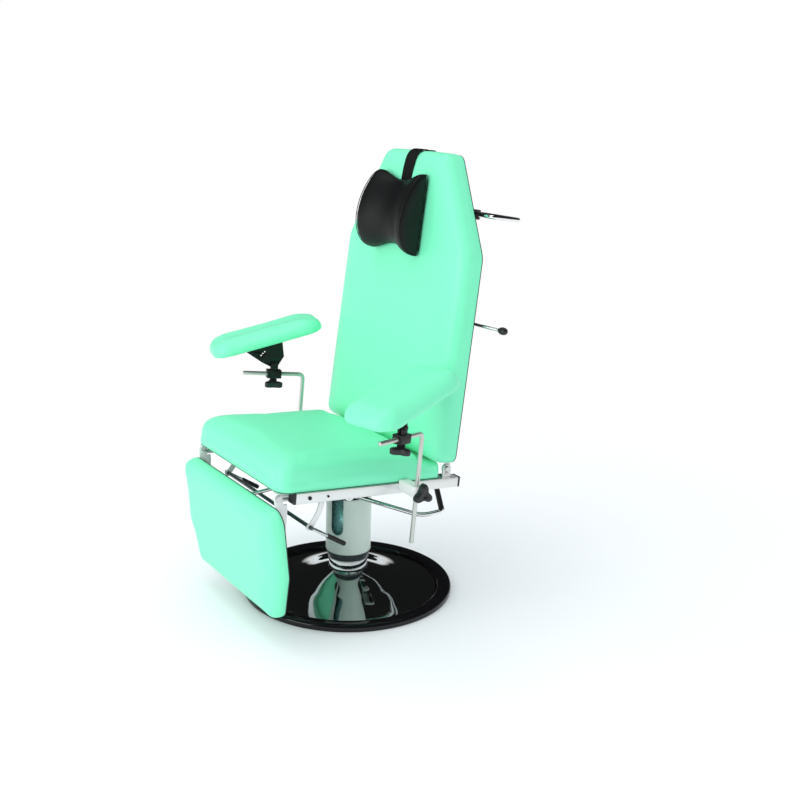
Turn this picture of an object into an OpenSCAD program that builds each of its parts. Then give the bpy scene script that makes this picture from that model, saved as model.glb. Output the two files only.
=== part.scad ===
// Blood drawing chair: padded seat, backrest, footrest and two arm pads on a hydraulic column.
// Origin: centre of the round base on the floor. +Z is up, the patient faces -Y, +X is the
// patient's left. All lengths are in millimetres.

/* [Base] */
// Diameter of the round base over its rim
base_d = 600; // [560:5:660]
// Height of the rim above the floor
rim_h = 20; // [16:1:24]
// Width of the rim, seen from above
rim_w = 43; // [36:1:50]
// Sheet thickness of the domed base plate
base_sheet = 4; // [3:0.5:5]
// Height of the dome where the collar stands
dome_h = 67; // [55:1:75]

/* [Column] */
// Diameter of the chrome collar
collar_d = 110; // [104:1:114]
// Height of the chrome collar's top
collar_top = 97; // [92:1:104]
// Diameter of the column cover
cover_d = 129; // [124:1:134]
// Height of the column cover's lower edge
cover_bottom = 119; // [112:1:126]
// Height of the column cover's upper edge
cover_top = 284; // [270:1:290]
// Wall of the column cover
cover_wall = 2.5; // [1.5:0.5:3.5]
// Width of the slot in the cover
slot_w = 40; // [30:1:46]
// Height of the slot's lower end
slot_bottom = 176; // [160:1:200]
// Direction that the slot faces
slot_turn = -63; // [-75:1:-50]
// Diameter of the pump cylinder
pump_d = 92; // [84:1:96]
// Diameter of the lifting ram
ram_d = 48; // [40:1:52]
// Running clearance around the ram and other shafts
fit_gap = 0.05; // [0.02:0.01:0.1]

/* [Pump pedal] */
// Diameter of the pedal bar
pedal_rod = 12; // [10:1:14]
// Direction that the pedal points
pedal_turn = 59; // [50:1:68]
// Height of the pedal's pivot
pedal_pivot_h = 301; // [298:1:304]
// Reach of the pedal from the column's axis
pedal_reach = 257; // [235:1:270]
// Half the width of the pedal loop at the foot bar
pedal_half = 100; // [88:1:110]
// Outer diameter of the rubber sleeve
sleeve_d = 16; // [15:0.5:18]

/* [Seat frame] */
// Height of the rails' top face over the column's axis
rail_top = 392; // [386:1:400]
// Tilt of the seat frame, front edge up
frame_tilt = 4.6; // [3:0.1:6]
// Width of a side rail
rail_w = 30; // [26:1:34]
// Height of a side rail
rail_h = 28; // [25:1:31]
// Wall of a side rail
rail_wall = 2; // [1.5:0.5:3]
// How far each rail stands out past the seat cushion's side
rail_proud = 1; // [0.5:0.5:4]
// Distance of the rails' front end from the column's axis
rail_front = 308; // [300:1:312]
// Distance of the rails' rear end from the column's axis
rail_rear = 194; // [188:1:205]

/* [Seat] */
// Half the width of the seat cushion
seat_half = 254; // [245:1:262]
// Distance of the seat's front edge from the column's axis
seat_front = 357; // [348:1:362]
// Distance of the seat's rear edge from the column's axis
seat_rear = 69; // [58:1:72]
// Thickness of the seat cushion
seat_thick = 84; // [72:1:92]
// Width of the sloping margin round the seat's flat panel
seat_margin = 62; // [50:1:70]
// Thickness of the upholstery boards
board_t = 12; // [9:1:14]

/* [Backrest] */
// Distance of the backrest pivot behind the column's axis
back_pivot_y = 152; // [148:1:156]
// Height of the backrest pivot above the rails
back_pivot_h = 27; // [24:1:30]
// Lean of the backrest against the seat frame at rest
back_lean = 2.6; // [1:0.1:4]
// Length of the backrest
back_long = 810; // [770:5:840]
// Height of the backrest's shoulders above its lower edge
shoulder_h = 555; // [520:5:580]
// How much wider than the seat the backrest's lower edge is, on each side
back_wider = 46; // [34:1:54]
// Half the width at the shoulders
back_half_mid = 291; // [278:1:300]
// Half the width at the top
back_half_top = 146; // [134:1:158]
// Thickness of the backrest with its cushion
back_thick = 73; // [66:1:78]
// Width of the sloping margin round the backrest's flat panel
back_margin = 60; // [50:1:66]
// Diameter of the push bar
push_rod = 12; // [10:1:14]
// Half the width over the push bar
push_half = 280; // [270:1:290]
// Height of the push bar above the backrest's lower edge
push_h = 660; // [640:1:680]

/* [Headrest] */
// Half the length of the headrest pillow
pillow_half = 110; // [95:1:120]
// Height of the pillow at its ends
pillow_h = 222; // [200:1:235]
// Depth of the pillow at its ends
pillow_deep = 76; // [64:1:90]
// Height of the pillow's middle above the backrest's lower edge
pillow_up = 638; // [610:1:650]
// Width of the headrest strap
strap_w = 48; // [40:1:56]

/* [Footrest] */
// How much wider than the seat the footrest is, on each side
foot_wider = 20; // [6:1:26]
// How much the footrest narrows to its lower edge, on each side
foot_narrows = 48; // [30:1:60]
// Length of the footrest
foot_long = 314; // [295:1:325]
// Distance from the top to where the footrest starts to narrow
foot_taper = 181; // [165:1:200]
// Thickness of the footrest with its cushion
foot_thick = 46; // [40:1:52]
// Width of the sloping margin round the footrest's flat panel
foot_margin = 40; // [32:1:46]
// Lean of the footrest, lower edge to the rear
foot_lean = 5.5; // [3:0.5:8]

/* [Armrests] */
// Diameter of the armrest rods
arm_rod = 12; // [11:0.5:13]
// Distance of the upright rods outside the rails
arm_out = 62; // [56:1:67]
// Distance of the upright rods behind the column's axis
arm_y = 11.5; // [0:0.5:25]
// Height of the left rod's bend above the rails
arm_top_left = 152.5; // [130:0.5:170]
// Height of the right rod's bend above the rails
arm_top_right = 167; // [130:0.5:175]
// Length of the left rod below its bend
arm_drop = 298; // [280:1:310]
// Length of the horizontal part of each rod
arm_reach = 182; // [175:1:195]
// Turn of the left arm pad, front outwards
arm_turn_left = 20; // [10:1:28]
// Turn of the right arm pad, front outwards
arm_turn_right = 16; // [10:1:28]
// Length of an arm pad
pad_long = 335; // [315:1:350]
// Width of an arm pad at its front
pad_w_front = 162; // [150:1:170]
// Width of an arm pad at its rear
pad_w_rear = 164; // [150:1:172]
// Thickness of an arm pad
pad_thick = 45; // [38:1:50]
// Slope of the left arm pad against the seat frame, rear end up
pad_slope_left = 15.5; // [10:0.5:20]
// Slope of the right arm pad against the seat frame, rear end up
pad_slope_right = 18; // [10:0.5:20]

/* [Footrest release] */
// Distance of the release shaft in front of the column's axis
shaft_y = 255; // [248:1:262]
// Drop of the release shaft below the rails' top face
shaft_drop = 97; // [92:1:104]
// Diameter of the release shaft
shaft_d = 10; // [9:0.5:12]

/* [Hidden] */

$fn = 48;
// Overrun of every cut past the face that it opens
over = 1;
// Clearance between pieces that move past each other
clear = 0.3;
mint = [0.50, 0.97, 0.83];
black = [0.06, 0.07, 0.07];
steel = [0.78, 0.80, 0.80];
white_metal = [0.90, 0.92, 0.91];
column_grey = [0.62, 0.69, 0.66];

base_r = base_d / 2;
rim_in = base_r - rim_w;
collar_r = collar_d / 2;
cover_r = cover_d / 2;
pump_r = pump_d / 2;
ram_r = ram_d / 2;
ring_top_r = cover_r - cover_wall - clear;
rail_half = seat_half + rail_proud;
arm_x = rail_half + arm_out;
back_half_low = seat_half + back_wider;
foot_half = seat_half + foot_wider;
foot_half_low = foot_half - foot_narrows;

// Turns a rest pose of the seat frame into place: the frame's own zero is the rails' top face
module in_frame() {
    translate([0, 0, rail_top]) rotate([-frame_tilt, 0, 0]) children();
}

// Draws its children on both sides of the chair
module both_sides() {
    children();
    mirror([1, 0, 0]) children();
}

// A round bar between two points
module bar_between(a, b, d) {
    v = b - a;
    translate(a)
        rotate([0, acos(v[2] / norm(v)), atan2(v[1], v[0])])
            cylinder(h = norm(v), d = d);
}

// A round bar along a list of points, with a slightly larger ball at each bend
bend_share = 1.04;
module bar_run(points, d) {
    for (i = [0 : len(points) - 2]) bar_between(points[i], points[i + 1], d);
    for (i = [1 : 1 : len(points) - 2]) translate(points[i]) sphere(d = d * bend_share);
}
// A quarter bend of a round bar in the X-Y plane, from +X to +Y round its own zero
module quarter_bend(r, d) {
    rotate_extrude(angle = 90) translate([r, 0]) circle(d = d);
}

// Outward normal of the edge from a to b of an outline that runs anticlockwise
function edge_normal(a, b) = [b[1] - a[1], a[0] - b[0]] / norm(b - a);

// Points of an outline with rounded corners, moved inwards by inset
function rounded_ring(corners, radii, inset, steps) =
    let (n = len(corners))
    [for (i = [0 : n - 1])
        let (n1 = edge_normal(corners[(i + n - 1) % n], corners[i]),
            n2 = edge_normal(corners[i], corners[(i + 1) % n]),
            miter = (n1 + n2) / (1 + n1 * n2),
            r = max(radii[i] - 0.6 * inset, 0.25 * radii[i]),
            centre = corners[i] - (inset + r) * miter,
            a1 = atan2(n1[1], n1[0]),
            turn = (atan2(n2[1], n2[0]) - a1 + 360) % 360)
        for (j = [0 : steps])
            centre + r * [cos(a1 + turn * j / steps), sin(a1 + turn * j / steps)]];

// A closed skin over rings of points, each with as many points, closed by a middle point
module skin(rings, first_middle, last_middle) {
    n = len(rings[0]);
    k = len(rings);
    points = concat([for (ring = rings) for (p = ring) p], [first_middle, last_middle]);
    faces = concat(
        [for (j = [0 : k - 2]) for (i = [0 : n - 1])
            [j * n + i, (j + 1) * n + (i + 1) % n, j * n + (i + 1) % n]],
        [for (j = [0 : k - 2]) for (i = [0 : n - 1])
            [j * n + i, (j + 1) * n + i, (j + 1) * n + (i + 1) % n]],
        [for (i = [0 : n - 1]) [k * n, i, (i + 1) % n]],
        [for (i = [0 : n - 1]) [k * n + 1, (k - 1) * n + (i + 1) % n, (k - 1) * n + i]]);
    polyhedron(points = points, faces = faces, convexity = 4);
}

// Shares of margin width and of thickness along a cushion's side, from its back to its panel:
// a tucked-in skirt, a side that draws in, a round shoulder, a sloping margin and a sewn seam
side_shares = [[0.05, 0], [0, 0.05], [0.03, 0.25], [0, 0.48], [0.05, 0.66], [0.17, 0.79],
    [0.38, 0.88], [0.92, 0.955], [1, 0.945], [1.08, 0.962], [1.5, 0.985]];

// A padded panel over an outline: back face at zero height, crowned front face at thick
module padded_panel(corners, radii, thick, margin, middle, steps) {
    rings = [for (s = side_shares)
        [for (p = rounded_ring(corners, radii, s[0] * margin, steps))
            [p[0], p[1], s[1] * thick]]];
    skin(rings, [middle[0], middle[1], 0], [middle[0], middle[1], thick]);
}

// The pocket in a cushion's back that its board sits in
board_inset = 3.6;
skirt = 3;
module board_outline(corners, radii, extra) {
    polygon(rounded_ring(corners, radii, board_inset - extra, 6));
}

// Floor plate that the pump stands on, domed cover plate and rim
floor_t = 5;
module floor_plate() {
    color(black) cylinder(h = floor_t, r = rim_in - clear, $fn = 96);
}
plate_low = floor_t + base_sheet;
dome_shares = [[0, 0], [0.12, 0.05], [0.35, 0.2], [0.65, 0.5], [0.88, 0.84], [1, 1]];
dome_run = rim_in - collar_r;
dome_top = [for (s = dome_shares)
    [rim_in - s[0] * dome_run, plate_low + s[1] * (dome_h - plate_low)]];
module base_plate() {
    color(black)
        rotate_extrude($fn = 96)
            polygon(concat(
                [[rim_in + rim_w * 0.4, plate_low]], dome_top,
                [[pump_r, dome_h], [pump_r, dome_h - base_sheet]],
                [for (i = [len(dome_top) - 1 : -1 : 0])
                    [dome_top[i][0], dome_top[i][1] - base_sheet]],
                [[rim_in + rim_w * 0.4, plate_low - base_sheet]]));
}
module base_rim() {
    color(black)
        rotate_extrude($fn = 96)
            difference() {
                polygon([[rim_in, 0], [base_r - rim_w * 0.06, 0], [base_r, rim_h * 0.12],
                    [base_r, rim_h * 0.55], [base_r - rim_w * 0.05, rim_h * 0.75],
                    [base_r - rim_w * 0.15, rim_h * 0.92], [base_r - rim_w * 0.3, rim_h],
                    [base_r - rim_w * 0.45, rim_h * 0.98], [base_r - rim_w * 0.65, rim_h * 0.82],
                    [rim_in + rim_w * 0.1, plate_low + rim_h * 0.12], [rim_in, plate_low]]);
                translate([rim_in - over, plate_low - base_sheet])
                    square([rim_w * 0.4 + over, base_sheet]);
            }
}
collar_flange = 3;
module column_collar() {
    color(steel)
        rotate_extrude($fn = 96)
            polygon([[pump_r, dome_h], [collar_r, dome_h],
                [collar_r, collar_top - collar_flange],
                [collar_r + collar_flange, collar_top - collar_flange],
                [collar_r + collar_flange, collar_top], [pump_r, collar_top]]);
}
module collar_ring() {
    color([0.35, 0.40, 0.41])
        rotate_extrude($fn = 96)
            polygon([[pump_r, collar_top], [collar_r + collar_flange, collar_top],
                [cover_r - cover_wall * 0.4, cover_bottom],
                [ring_top_r, cover_bottom], [ring_top_r, cover_bottom + rim_h * 0.5],
                [pump_r, cover_bottom + rim_h * 0.5]]);
}
module column_cover() {
    color(column_grey)
        difference() {
            translate([0, 0, cover_bottom])
                cylinder(h = cover_top - cover_bottom, r = cover_r, $fn = 96);
            translate([0, 0, cover_bottom - over])
                cylinder(h = cover_top - cover_bottom + 2 * over, r = cover_r - cover_wall,
                    $fn = 96);
            rotate([0, 0, slot_turn]) {
                translate([pump_r, -slot_w / 2, slot_bottom + slot_w / 2])
                    cube([cover_r, slot_w, cover_top - slot_bottom]);
                translate([pump_r, 0, slot_bottom + slot_w / 2])
                    rotate([0, 90, 0]) cylinder(h = cover_r, d = slot_w);
            }
        }
}
// The pump's cylinder stands through the collar on the dome and carries the ram
pump_floor = floor_t;
pump_wall = 6;
module pump_cylinder() {
    color(steel)
        difference() {
            translate([0, 0, pump_floor])
                cylinder(h = cover_top - pump_floor, r = pump_r, $fn = 96);
            translate([0, 0, pump_floor + pump_wall])
                cylinder(h = cover_top, r = pump_r - pump_wall, $fn = 96);
        }
}
head_h = 34;
head_r = cover_r - cover_wall;
pin_d = 12;
eye_r = 14;
eye_t = 9;
module turned_for_pedal() {
    translate([0, 0, pedal_pivot_h]) rotate([0, 0, pedal_turn]) children();
}
module pump_head() {
    color(black)
        difference() {
            union() {
                translate([0, 0, cover_top]) cylinder(h = head_h, r = cover_r, $fn = 96);
                translate([0, 0, cover_top - rim_h])
                    cylinder(h = rim_h + over, r = pump_r - pump_wall, $fn = 96);
            }
            translate([0, 0, cover_top - rim_h - over])
                cylinder(h = head_h + rim_h + 2 * over, r = ram_r + fit_gap, $fn = 96);
            turned_for_pedal()
                rotate([90, 0, 0]) cylinder(h = 3 * cover_r, d = pin_d, center = true);
        }
}
module pedal_pins() {
    color(steel)
        turned_for_pedal()
            for (side = [-1, 1])
                rotate([-90 * side, 0, 0]) {
                    translate([0, 0, ram_r + pump_wall])
                        cylinder(h = cover_r + eye_t + 2 * clear - ram_r - pump_wall, d = pin_d);
                    translate([0, 0, cover_r + eye_t + 2 * clear])
                        cylinder(h = pump_wall * 0.7, d = pin_d * 1.5);
                }
}
// The pedal is one bent bar round the column: two eyes, two sloping arms and a foot bar
pedal_mid = pedal_reach * 0.78;
pedal_mid_drop = 43;
pedal_end_drop = 31;
eye_out = cover_r + clear + eye_t / 2;
pedal_points = [[eye_r * 0.85, eye_out, 0], [pedal_mid, pedal_half + sleeve_d / 2,
    -pedal_mid_drop], [pedal_reach, pedal_half, -pedal_end_drop],
    [pedal_reach, over, -pedal_end_drop]];
module pedal_bar() {
    color(steel)
        turned_for_pedal() {
            difference() {
                union() {
                    for (side = [-1, 1]) scale([1, side, 1])
                        translate([0, cover_r + clear, 0])
                            rotate([-90, 0, 0]) cylinder(h = eye_t, r = eye_r);
                    for (side = [-1, 1])
                        bar_run([for (p = pedal_points) [p[0], side * p[1], p[2]]], pedal_rod);
                    translate([pedal_reach, 0, -pedal_end_drop])
                        rotate([90, 0, 0])
                            cylinder(h = pedal_half, d = pedal_rod, center = true);
                }
                rotate([90, 0, 0])
                    cylinder(h = 3 * cover_r, d = pin_d + 2 * fit_gap, center = true);
            }
        }
}
module pedal_sleeve() {
    color(black)
        turned_for_pedal()
            translate([pedal_reach, 0, -pedal_end_drop])
                rotate([90, 0, 0])
                    difference() {
                        cylinder(h = 2 * pedal_half - 2 * pedal_rod, d = sleeve_d, center = true);
                        cylinder(h = 2 * pedal_half, d = pedal_rod, center = true);
                    }
}

// The ram slides in the pump; the hub turns on its journal
ram_foot = pump_floor + pump_wall + rim_h;
ram_shoulder = cover_top + head_h + clear * 2;
journal_d = ram_d * 0.7;
plate_t = 8;
plate_under = rail_h + plate_t;
module lift_ram() {
    color(steel)
        union() {
            translate([0, 0, ram_foot])
                cylinder(h = ram_shoulder - ram_foot, d = ram_d, $fn = 96);
            translate([0, 0, ram_shoulder])
                cylinder(h = rail_h * 0.9, d = journal_d, $fn = 96);
        }
}
hub_r = 45;
module swivel_hub() {
    color(black)
        difference() {
            translate([0, 0, ram_shoulder + clear]) cylinder(h = rail_top, r = hub_r, $fn = 96);
            translate([0, 0, ram_shoulder])
                cylinder(h = rail_h, d = journal_d + 2 * fit_gap, $fn = 96);
            in_frame() translate([-base_r, -base_r, -plate_under])
                cube([base_d, base_d, rail_top]);
        }
}
mount_w = 180;
tube_front_y = -150;
tube_rear_y = 100;
module mount_plate() {
    color(black)
        in_frame() {
            translate([-mount_w / 2, tube_front_y - rail_w / 2, -plate_under])
                cube([mount_w, tube_rear_y - tube_front_y + rail_w, plate_t]);
            // Anchor plates of the footrest's gas spring
            anchor_plates(foot_anchor, [foot_anchor[0] - anchor_r, foot_anchor[1]],
                [foot_anchor[0] + anchor_r, -plate_under]);
        }
}
rail_inner = rail_half - rail_w;
module cross_tube_at(y) {
    translate([-rail_inner, y - rail_w / 2, -rail_h])
        difference() {
            cube([2 * rail_inner, rail_w, rail_h]);
            translate([-over, rail_wall, rail_wall])
                cube([2 * rail_inner + 2 * over, rail_w - 2 * rail_wall, rail_h - 2 * rail_wall]);
        }
}
// Anchor plates of the gas springs, with a round end at the pin and a box up to their weld
anchor_t = 5;
anchor_gap = 15;
back_anchor_out = 40;
back_anchor_drop = 14;
foot_anchor_out = 30;
foot_anchor_drop = 16;
back_anchor = [tube_rear_y + rail_w / 2 + back_anchor_out, -rail_h - back_anchor_drop];
foot_anchor = [tube_front_y + rail_w / 2 + foot_anchor_out, -plate_under - foot_anchor_drop];
anchor_pin = 8;
anchor_r = 11.2;
module anchor_plates(anchor, low, high) {
    for (side = [-1, 1])
        translate([side * (anchor_gap + anchor_t) / 2 - anchor_t / 2, 0, 0])
            difference() {
                union() {
                    translate([0, low[0], low[1]])
                        cube([anchor_t, high[0] - low[0], high[1] - low[1]]);
                    translate([0, anchor[0], anchor[1]])
                        rotate([0, 90, 0]) cylinder(h = anchor_t, r = anchor_r);
                }
                translate([-over, anchor[0], anchor[1]])
                    rotate([0, 90, 0]) cylinder(h = anchor_t + 2 * over, d = anchor_pin);
            }
}
// Cross tubes; the rear one carries the anchor plates of the backrest's gas spring
weld_rear = tube_rear_y + rail_w / 2;
module cross_tubes() {
    color(white_metal)
        in_frame() {
            cross_tube_at(tube_front_y);
            cross_tube_at(tube_rear_y);
            anchor_plates(back_anchor, [weld_rear, back_anchor[1] - anchor_r],
                [back_anchor[0], back_anchor[1] + anchor_r]);
            for (side = [-1, 1])
                translate([side * (anchor_gap + anchor_t) / 2 - anchor_t / 2, weld_rear,
                    back_anchor[1]])
                    cube([anchor_t, anchor_r, -back_anchor[1] - rail_wall]);
        }
}
module side_rails() {
    color(white_metal)
        in_frame()
            both_sides()
                translate([rail_inner, -rail_front, -rail_h])
                    difference() {
                        cube([rail_w, rail_front + rail_rear, rail_h]);
                        translate([rail_wall, -over, rail_wall])
                            cube([rail_w - 2 * rail_wall, rail_front + rail_rear + 2 * over,
                                rail_h - 2 * rail_wall]);
                    }
}
plug_cap = 6;
plug_deep = 14;
module rail_plug() {
    translate([rail_inner, -plug_cap, -rail_h]) cube([rail_w, plug_cap, rail_h]);
    translate([rail_inner + rail_wall, 0, rail_wall - rail_h])
        cube([rail_w - 2 * rail_wall, plug_deep, rail_h - 2 * rail_wall]);
}
module rail_plugs() {
    color(black)
        in_frame()
            both_sides() {
                translate([0, -rail_front, 0]) rail_plug();
                translate([0, rail_rear, 0]) mirror([0, 1, 0]) rail_plug();
            }
}
// Cap screws in the rails' outer faces: one at each hanger, and a small one behind it
screw_d = 6;
screw_head = 10;
screw_gap = 53;
screw_front_y = -shaft_y - screw_head * 1.5;
module rail_bolts() {
    color(black)
        in_frame()
            both_sides()
                for (screw = [[0, screw_head], [screw_gap, screw_d]])
                    translate([rail_half, screw_front_y + screw[0], -rail_h / 2])
                        rotate([0, 90, 0]) cylinder(h = screw_d / 2, d = screw[1]);
}

// Footrest hinge: lugs welded inside the rails, reaching in front of them
foot_pivot_y = -345;
foot_pivot_h = -14;
lug_t = 6;
lug_r = 13;
module footrest_lugs() {
    color(white_metal)
        in_frame()
            both_sides()
                translate([rail_inner - lug_t, 0, 0])
                    difference() {
                        union() {
                            translate([0, foot_pivot_y, foot_pivot_h - lug_r])
                                cube([lug_t, -foot_pivot_y - rail_front + 3 * rail_w,
                                    2 * lug_r]);
                            translate([0, foot_pivot_y, foot_pivot_h])
                                rotate([0, 90, 0]) cylinder(h = lug_t, r = lug_r);
                        }
                        translate([-over, foot_pivot_y, foot_pivot_h])
                            rotate([0, 90, 0]) cylinder(h = lug_t + 2 * over, d = hinge_pin_d);
                    }
}
hinge_pin_d = 10;
bracket_t = 5;
bracket_x = rail_half - bracket_t - clear;
strap_x = bracket_x - bracket_t - clear;
module hinge_pins() {
    color(steel)
        in_frame() {
            // Pins of the two gas springs
            for (anchor = [back_anchor, foot_anchor])
                translate([0, anchor[0], anchor[1]])
                    rotate([0, 90, 0])
                        cylinder(h = anchor_gap + 2 * anchor_t, d = anchor_pin, center = true);
            both_sides() {
                // Footrest pivot bolt, with its head outside the arm
                translate([rail_inner - lug_t, foot_pivot_y, foot_pivot_h])
                    rotate([0, 90, 0]) cylinder(h = 2 * lug_t + 2 * clear, d = hinge_pin_d);
                translate([rail_inner + lug_t + 2 * clear, foot_pivot_y, foot_pivot_h])
                    rotate([0, 90, 0]) cylinder(h = bracket_t, d = hinge_pin_d * 1.6);
                // Backrest pivot pin, with its head outside the bracket
                translate([strap_x - clear, back_pivot_y, back_pivot_h])
                    rotate([0, 90, 0])
                        cylinder(h = bracket_x + bracket_t - strap_x + clear, d = hinge_pin_d);
                translate([bracket_x + bracket_t, back_pivot_y, back_pivot_h])
                    rotate([0, 90, 0]) cylinder(h = bracket_t, d = hinge_pin_d * 1.4);
            }
        }
}
bracket_r = 13;
module back_brackets() {
    color([0.70, 0.78, 0.80])
        in_frame()
            both_sides()
                difference() {
                    union() {
                        translate([bracket_x, back_pivot_y - bracket_r, 0])
                            cube([bracket_t, 2 * bracket_r, back_pivot_h]);
                        translate([bracket_x, back_pivot_y, back_pivot_h])
                            rotate([0, 90, 0]) cylinder(h = bracket_t, r = bracket_r);
                        translate([rail_inner, back_pivot_y - bracket_r, 0])
                            cube([rail_w, 2 * bracket_r, bracket_t * 0.8]);
                    }
                    translate([bracket_x - over, back_pivot_y, back_pivot_h])
                        rotate([0, 90, 0]) cylinder(h = bracket_t + 2 * over, d = hinge_pin_d);
                }
}

// Curved hangers under the rails that carry the footrest release shaft
hanger_x = rail_half - rail_w / 2;
hanger_t = 5;
hanger_w = 15;
hanger_top_y = -225;
hanger_bend = 110;
// Middle line of a hanger, an arc from the rail's underside to the shaft, bulging to the rear
hanger_a = [hanger_top_y, -rail_h];
hanger_b = [-shaft_y, -shaft_drop];
hanger_chord = norm(hanger_b - hanger_a);
hanger_dir = (hanger_b - hanger_a) / hanger_chord;
hanger_side = [-hanger_dir[1], hanger_dir[0]];
hanger_mid = (hanger_a + hanger_b) / 2
    - hanger_side * sqrt(hanger_bend * hanger_bend - hanger_chord * hanger_chord / 4);
module hanger_outline() {
    difference() {
        union() {
            intersection() {
                translate(hanger_mid) difference() {
                    circle(r = hanger_bend + hanger_w / 2, $fn = 96);
                    circle(r = hanger_bend - hanger_w / 2, $fn = 96);
                }
                translate([hanger_b[0] - hanger_w, hanger_b[1]])
                    square([3 * hanger_w + hanger_chord, -hanger_b[1] - rail_h]);
            }
            translate(hanger_b) circle(d = hanger_w * 1.2);
        }
        translate(hanger_b) circle(d = shaft_d + 2 * fit_gap);
    }
}
module lever_hangers() {
    color(white_metal)
        in_frame()
            both_sides()
                translate([hanger_x - hanger_t / 2, 0, 0])
                    rotate([90, 0, 90]) linear_extrude(height = hanger_t) hanger_outline();
}

// Arm rod clamps: round-ended blocks on the rails' outer faces, bored for bush and rod
clamp_h = 28;
clamp_w = 30;
clamp_mid = -4;
bush_t = 2;
bush_r = arm_rod / 2 + bush_t;
module rod_clamps() {
    color(white_metal)
        in_frame()
            both_sides()
                difference() {
                    union() {
                        translate([rail_half, arm_y - clamp_w / 2, clamp_mid - clamp_h / 2])
                            cube([arm_x - rail_half, clamp_w, clamp_h]);
                        translate([arm_x, arm_y, clamp_mid - clamp_h / 2])
                            cylinder(h = clamp_h, d = clamp_w);
                    }
                    translate([arm_x, arm_y, clamp_mid - clamp_h / 2 - over])
                        cylinder(h = clamp_h + 2 * over, r = bush_r + fit_gap);
                    translate([arm_x, arm_y, clamp_mid])
                        rotate([0, 90, 0]) cylinder(h = clamp_w, d = stud_d + 2 * fit_gap);
                }
}

// Seat: board on the rails and cushion over it, which runs on low under the backrest
seat_corners = [[-seat_half, -seat_front], [seat_half, -seat_front],
    [seat_half, seat_rear], [-seat_half, seat_rear]];
seat_front_r = 40;
seat_rear_r = 24;
tail_r = 10;
seat_radii = [seat_front_r, seat_front_r, seat_rear_r, seat_rear_r];
seat_board_radii = [seat_front_r, seat_front_r, tail_r, tail_r];
tail_rear = 134;
tail_h = 42;
seat_gap = clear;
module seat_board() {
    color(black)
        in_frame()
            translate([0, 0, seat_gap])
                linear_extrude(height = board_t)
                    difference() {
                        polygon(rounded_ring([[-seat_half, -seat_front], [seat_half, -seat_front],
                            [seat_half, tail_rear], [-seat_half, tail_rear]],
                            seat_board_radii, board_inset, 8));
                    }
}
module seat_cushion() {
    color(mint)
        in_frame()
            translate([0, 0, seat_gap + skirt])
                difference() {
                    union() {
                        padded_panel(seat_corners, seat_radii, seat_thick, seat_margin,
                            [0, (seat_rear - seat_front) / 2], 7);
                        seat_tail();
                    }
                    translate([0, 0, -over])
                        linear_extrude(height = board_t - skirt + clear + over)
                            polygon(rounded_ring([[-seat_half, -seat_front],
                                [seat_half, -seat_front], [seat_half, tail_rear],
                                [-seat_half, tail_rear]], seat_board_radii,
                                board_inset - clear, 8));
                }
}
// Low rear end of the seat cushion, under the backrest's lower edge
tail_shares = [[0.3, 0], [0, 0.12], [0, 0.7], [0.35, 0.93], [1, 1]];
module seat_tail() {
    tail_corners = [[-seat_half, -seat_margin], [seat_half, -seat_margin],
        [seat_half, tail_rear], [-seat_half, tail_rear]];
    skin([for (s = tail_shares)
        [for (p = rounded_ring(tail_corners, [8, 8, 12, 12], s[0] * board_inset, 3))
            [p[0], p[1], s[1] * tail_h]]],
        [0, seat_rear, 0], [0, seat_rear, tail_h]);
}

// Backrest frame: zero is the lower edge of its back plane, X across, Y up, Z to the patient
back_foot_y = 145.8;
back_foot_h = 47.6;
module in_back() {
    in_frame()
        translate([0, back_foot_y, back_foot_h])
            rotate([90 - back_lean, 0, 0]) children();
}
back_corners = [[-back_half_low, 0], [back_half_low, 0], [back_half_mid, shoulder_h],
    [back_half_top, back_long], [-back_half_top, back_long], [-back_half_mid, shoulder_h]];
back_radii = [26, 26, 60, 34, 34, 60];
module back_board() {
    color(black)
        in_back() linear_extrude(height = board_t) board_outline(back_corners, back_radii, 0);
}
module back_cushion() {
    color(mint)
        in_back()
            difference() {
                translate([0, 0, skirt])
                    padded_panel(back_corners, back_radii, back_thick - skirt, back_margin,
                        [0, shoulder_h * 0.7], 6);
                translate([0, 0, skirt - over])
                    linear_extrude(height = board_t + clear - skirt + over)
                        board_outline(back_corners, back_radii, clear);
            }
}
// White straps, L-shaped, from the pivot pins up the back of the board
strap_long = 130;
strap_web = 26;
strap_foot = 22;
// Place of the backrest pivot in the backrest's own frame
pivot_dy = back_pivot_y - back_foot_y;
pivot_dh = back_pivot_h - back_foot_h;
pivot_back = pivot_dy * cos(back_lean) - pivot_dh * sin(back_lean);
pivot_low = -pivot_dy * sin(back_lean) - pivot_dh * cos(back_lean);
module back_straps() {
    color(white_metal)
        in_back()
            both_sides()
                difference() {
                    union() {
                        translate([strap_x, 0, -strap_web])
                            cube([bracket_t, strap_long, strap_web - clear]);
                        translate([strap_x - strap_foot, strap_web, -bracket_t * 0.7 - clear])
                            cube([strap_foot, strap_long - strap_web, bracket_t * 0.7]);
                        translate([strap_x, -pivot_low, -pivot_back])
                            rotate([0, 90, 0]) cylinder(h = bracket_t, r = bracket_r - over);
                        translate([strap_x, -pivot_low, -pivot_back - bracket_r + over])
                            cube([bracket_t, pivot_low + over, 2 * bracket_r - 3 * over
                                - pivot_back + over]);
                    }
                    translate([strap_x - over, -pivot_low, -pivot_back])
                        rotate([0, 90, 0])
                            cylinder(h = bracket_t + 2 * over, d = hinge_pin_d + 2 * fit_gap);
                }
}
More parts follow.
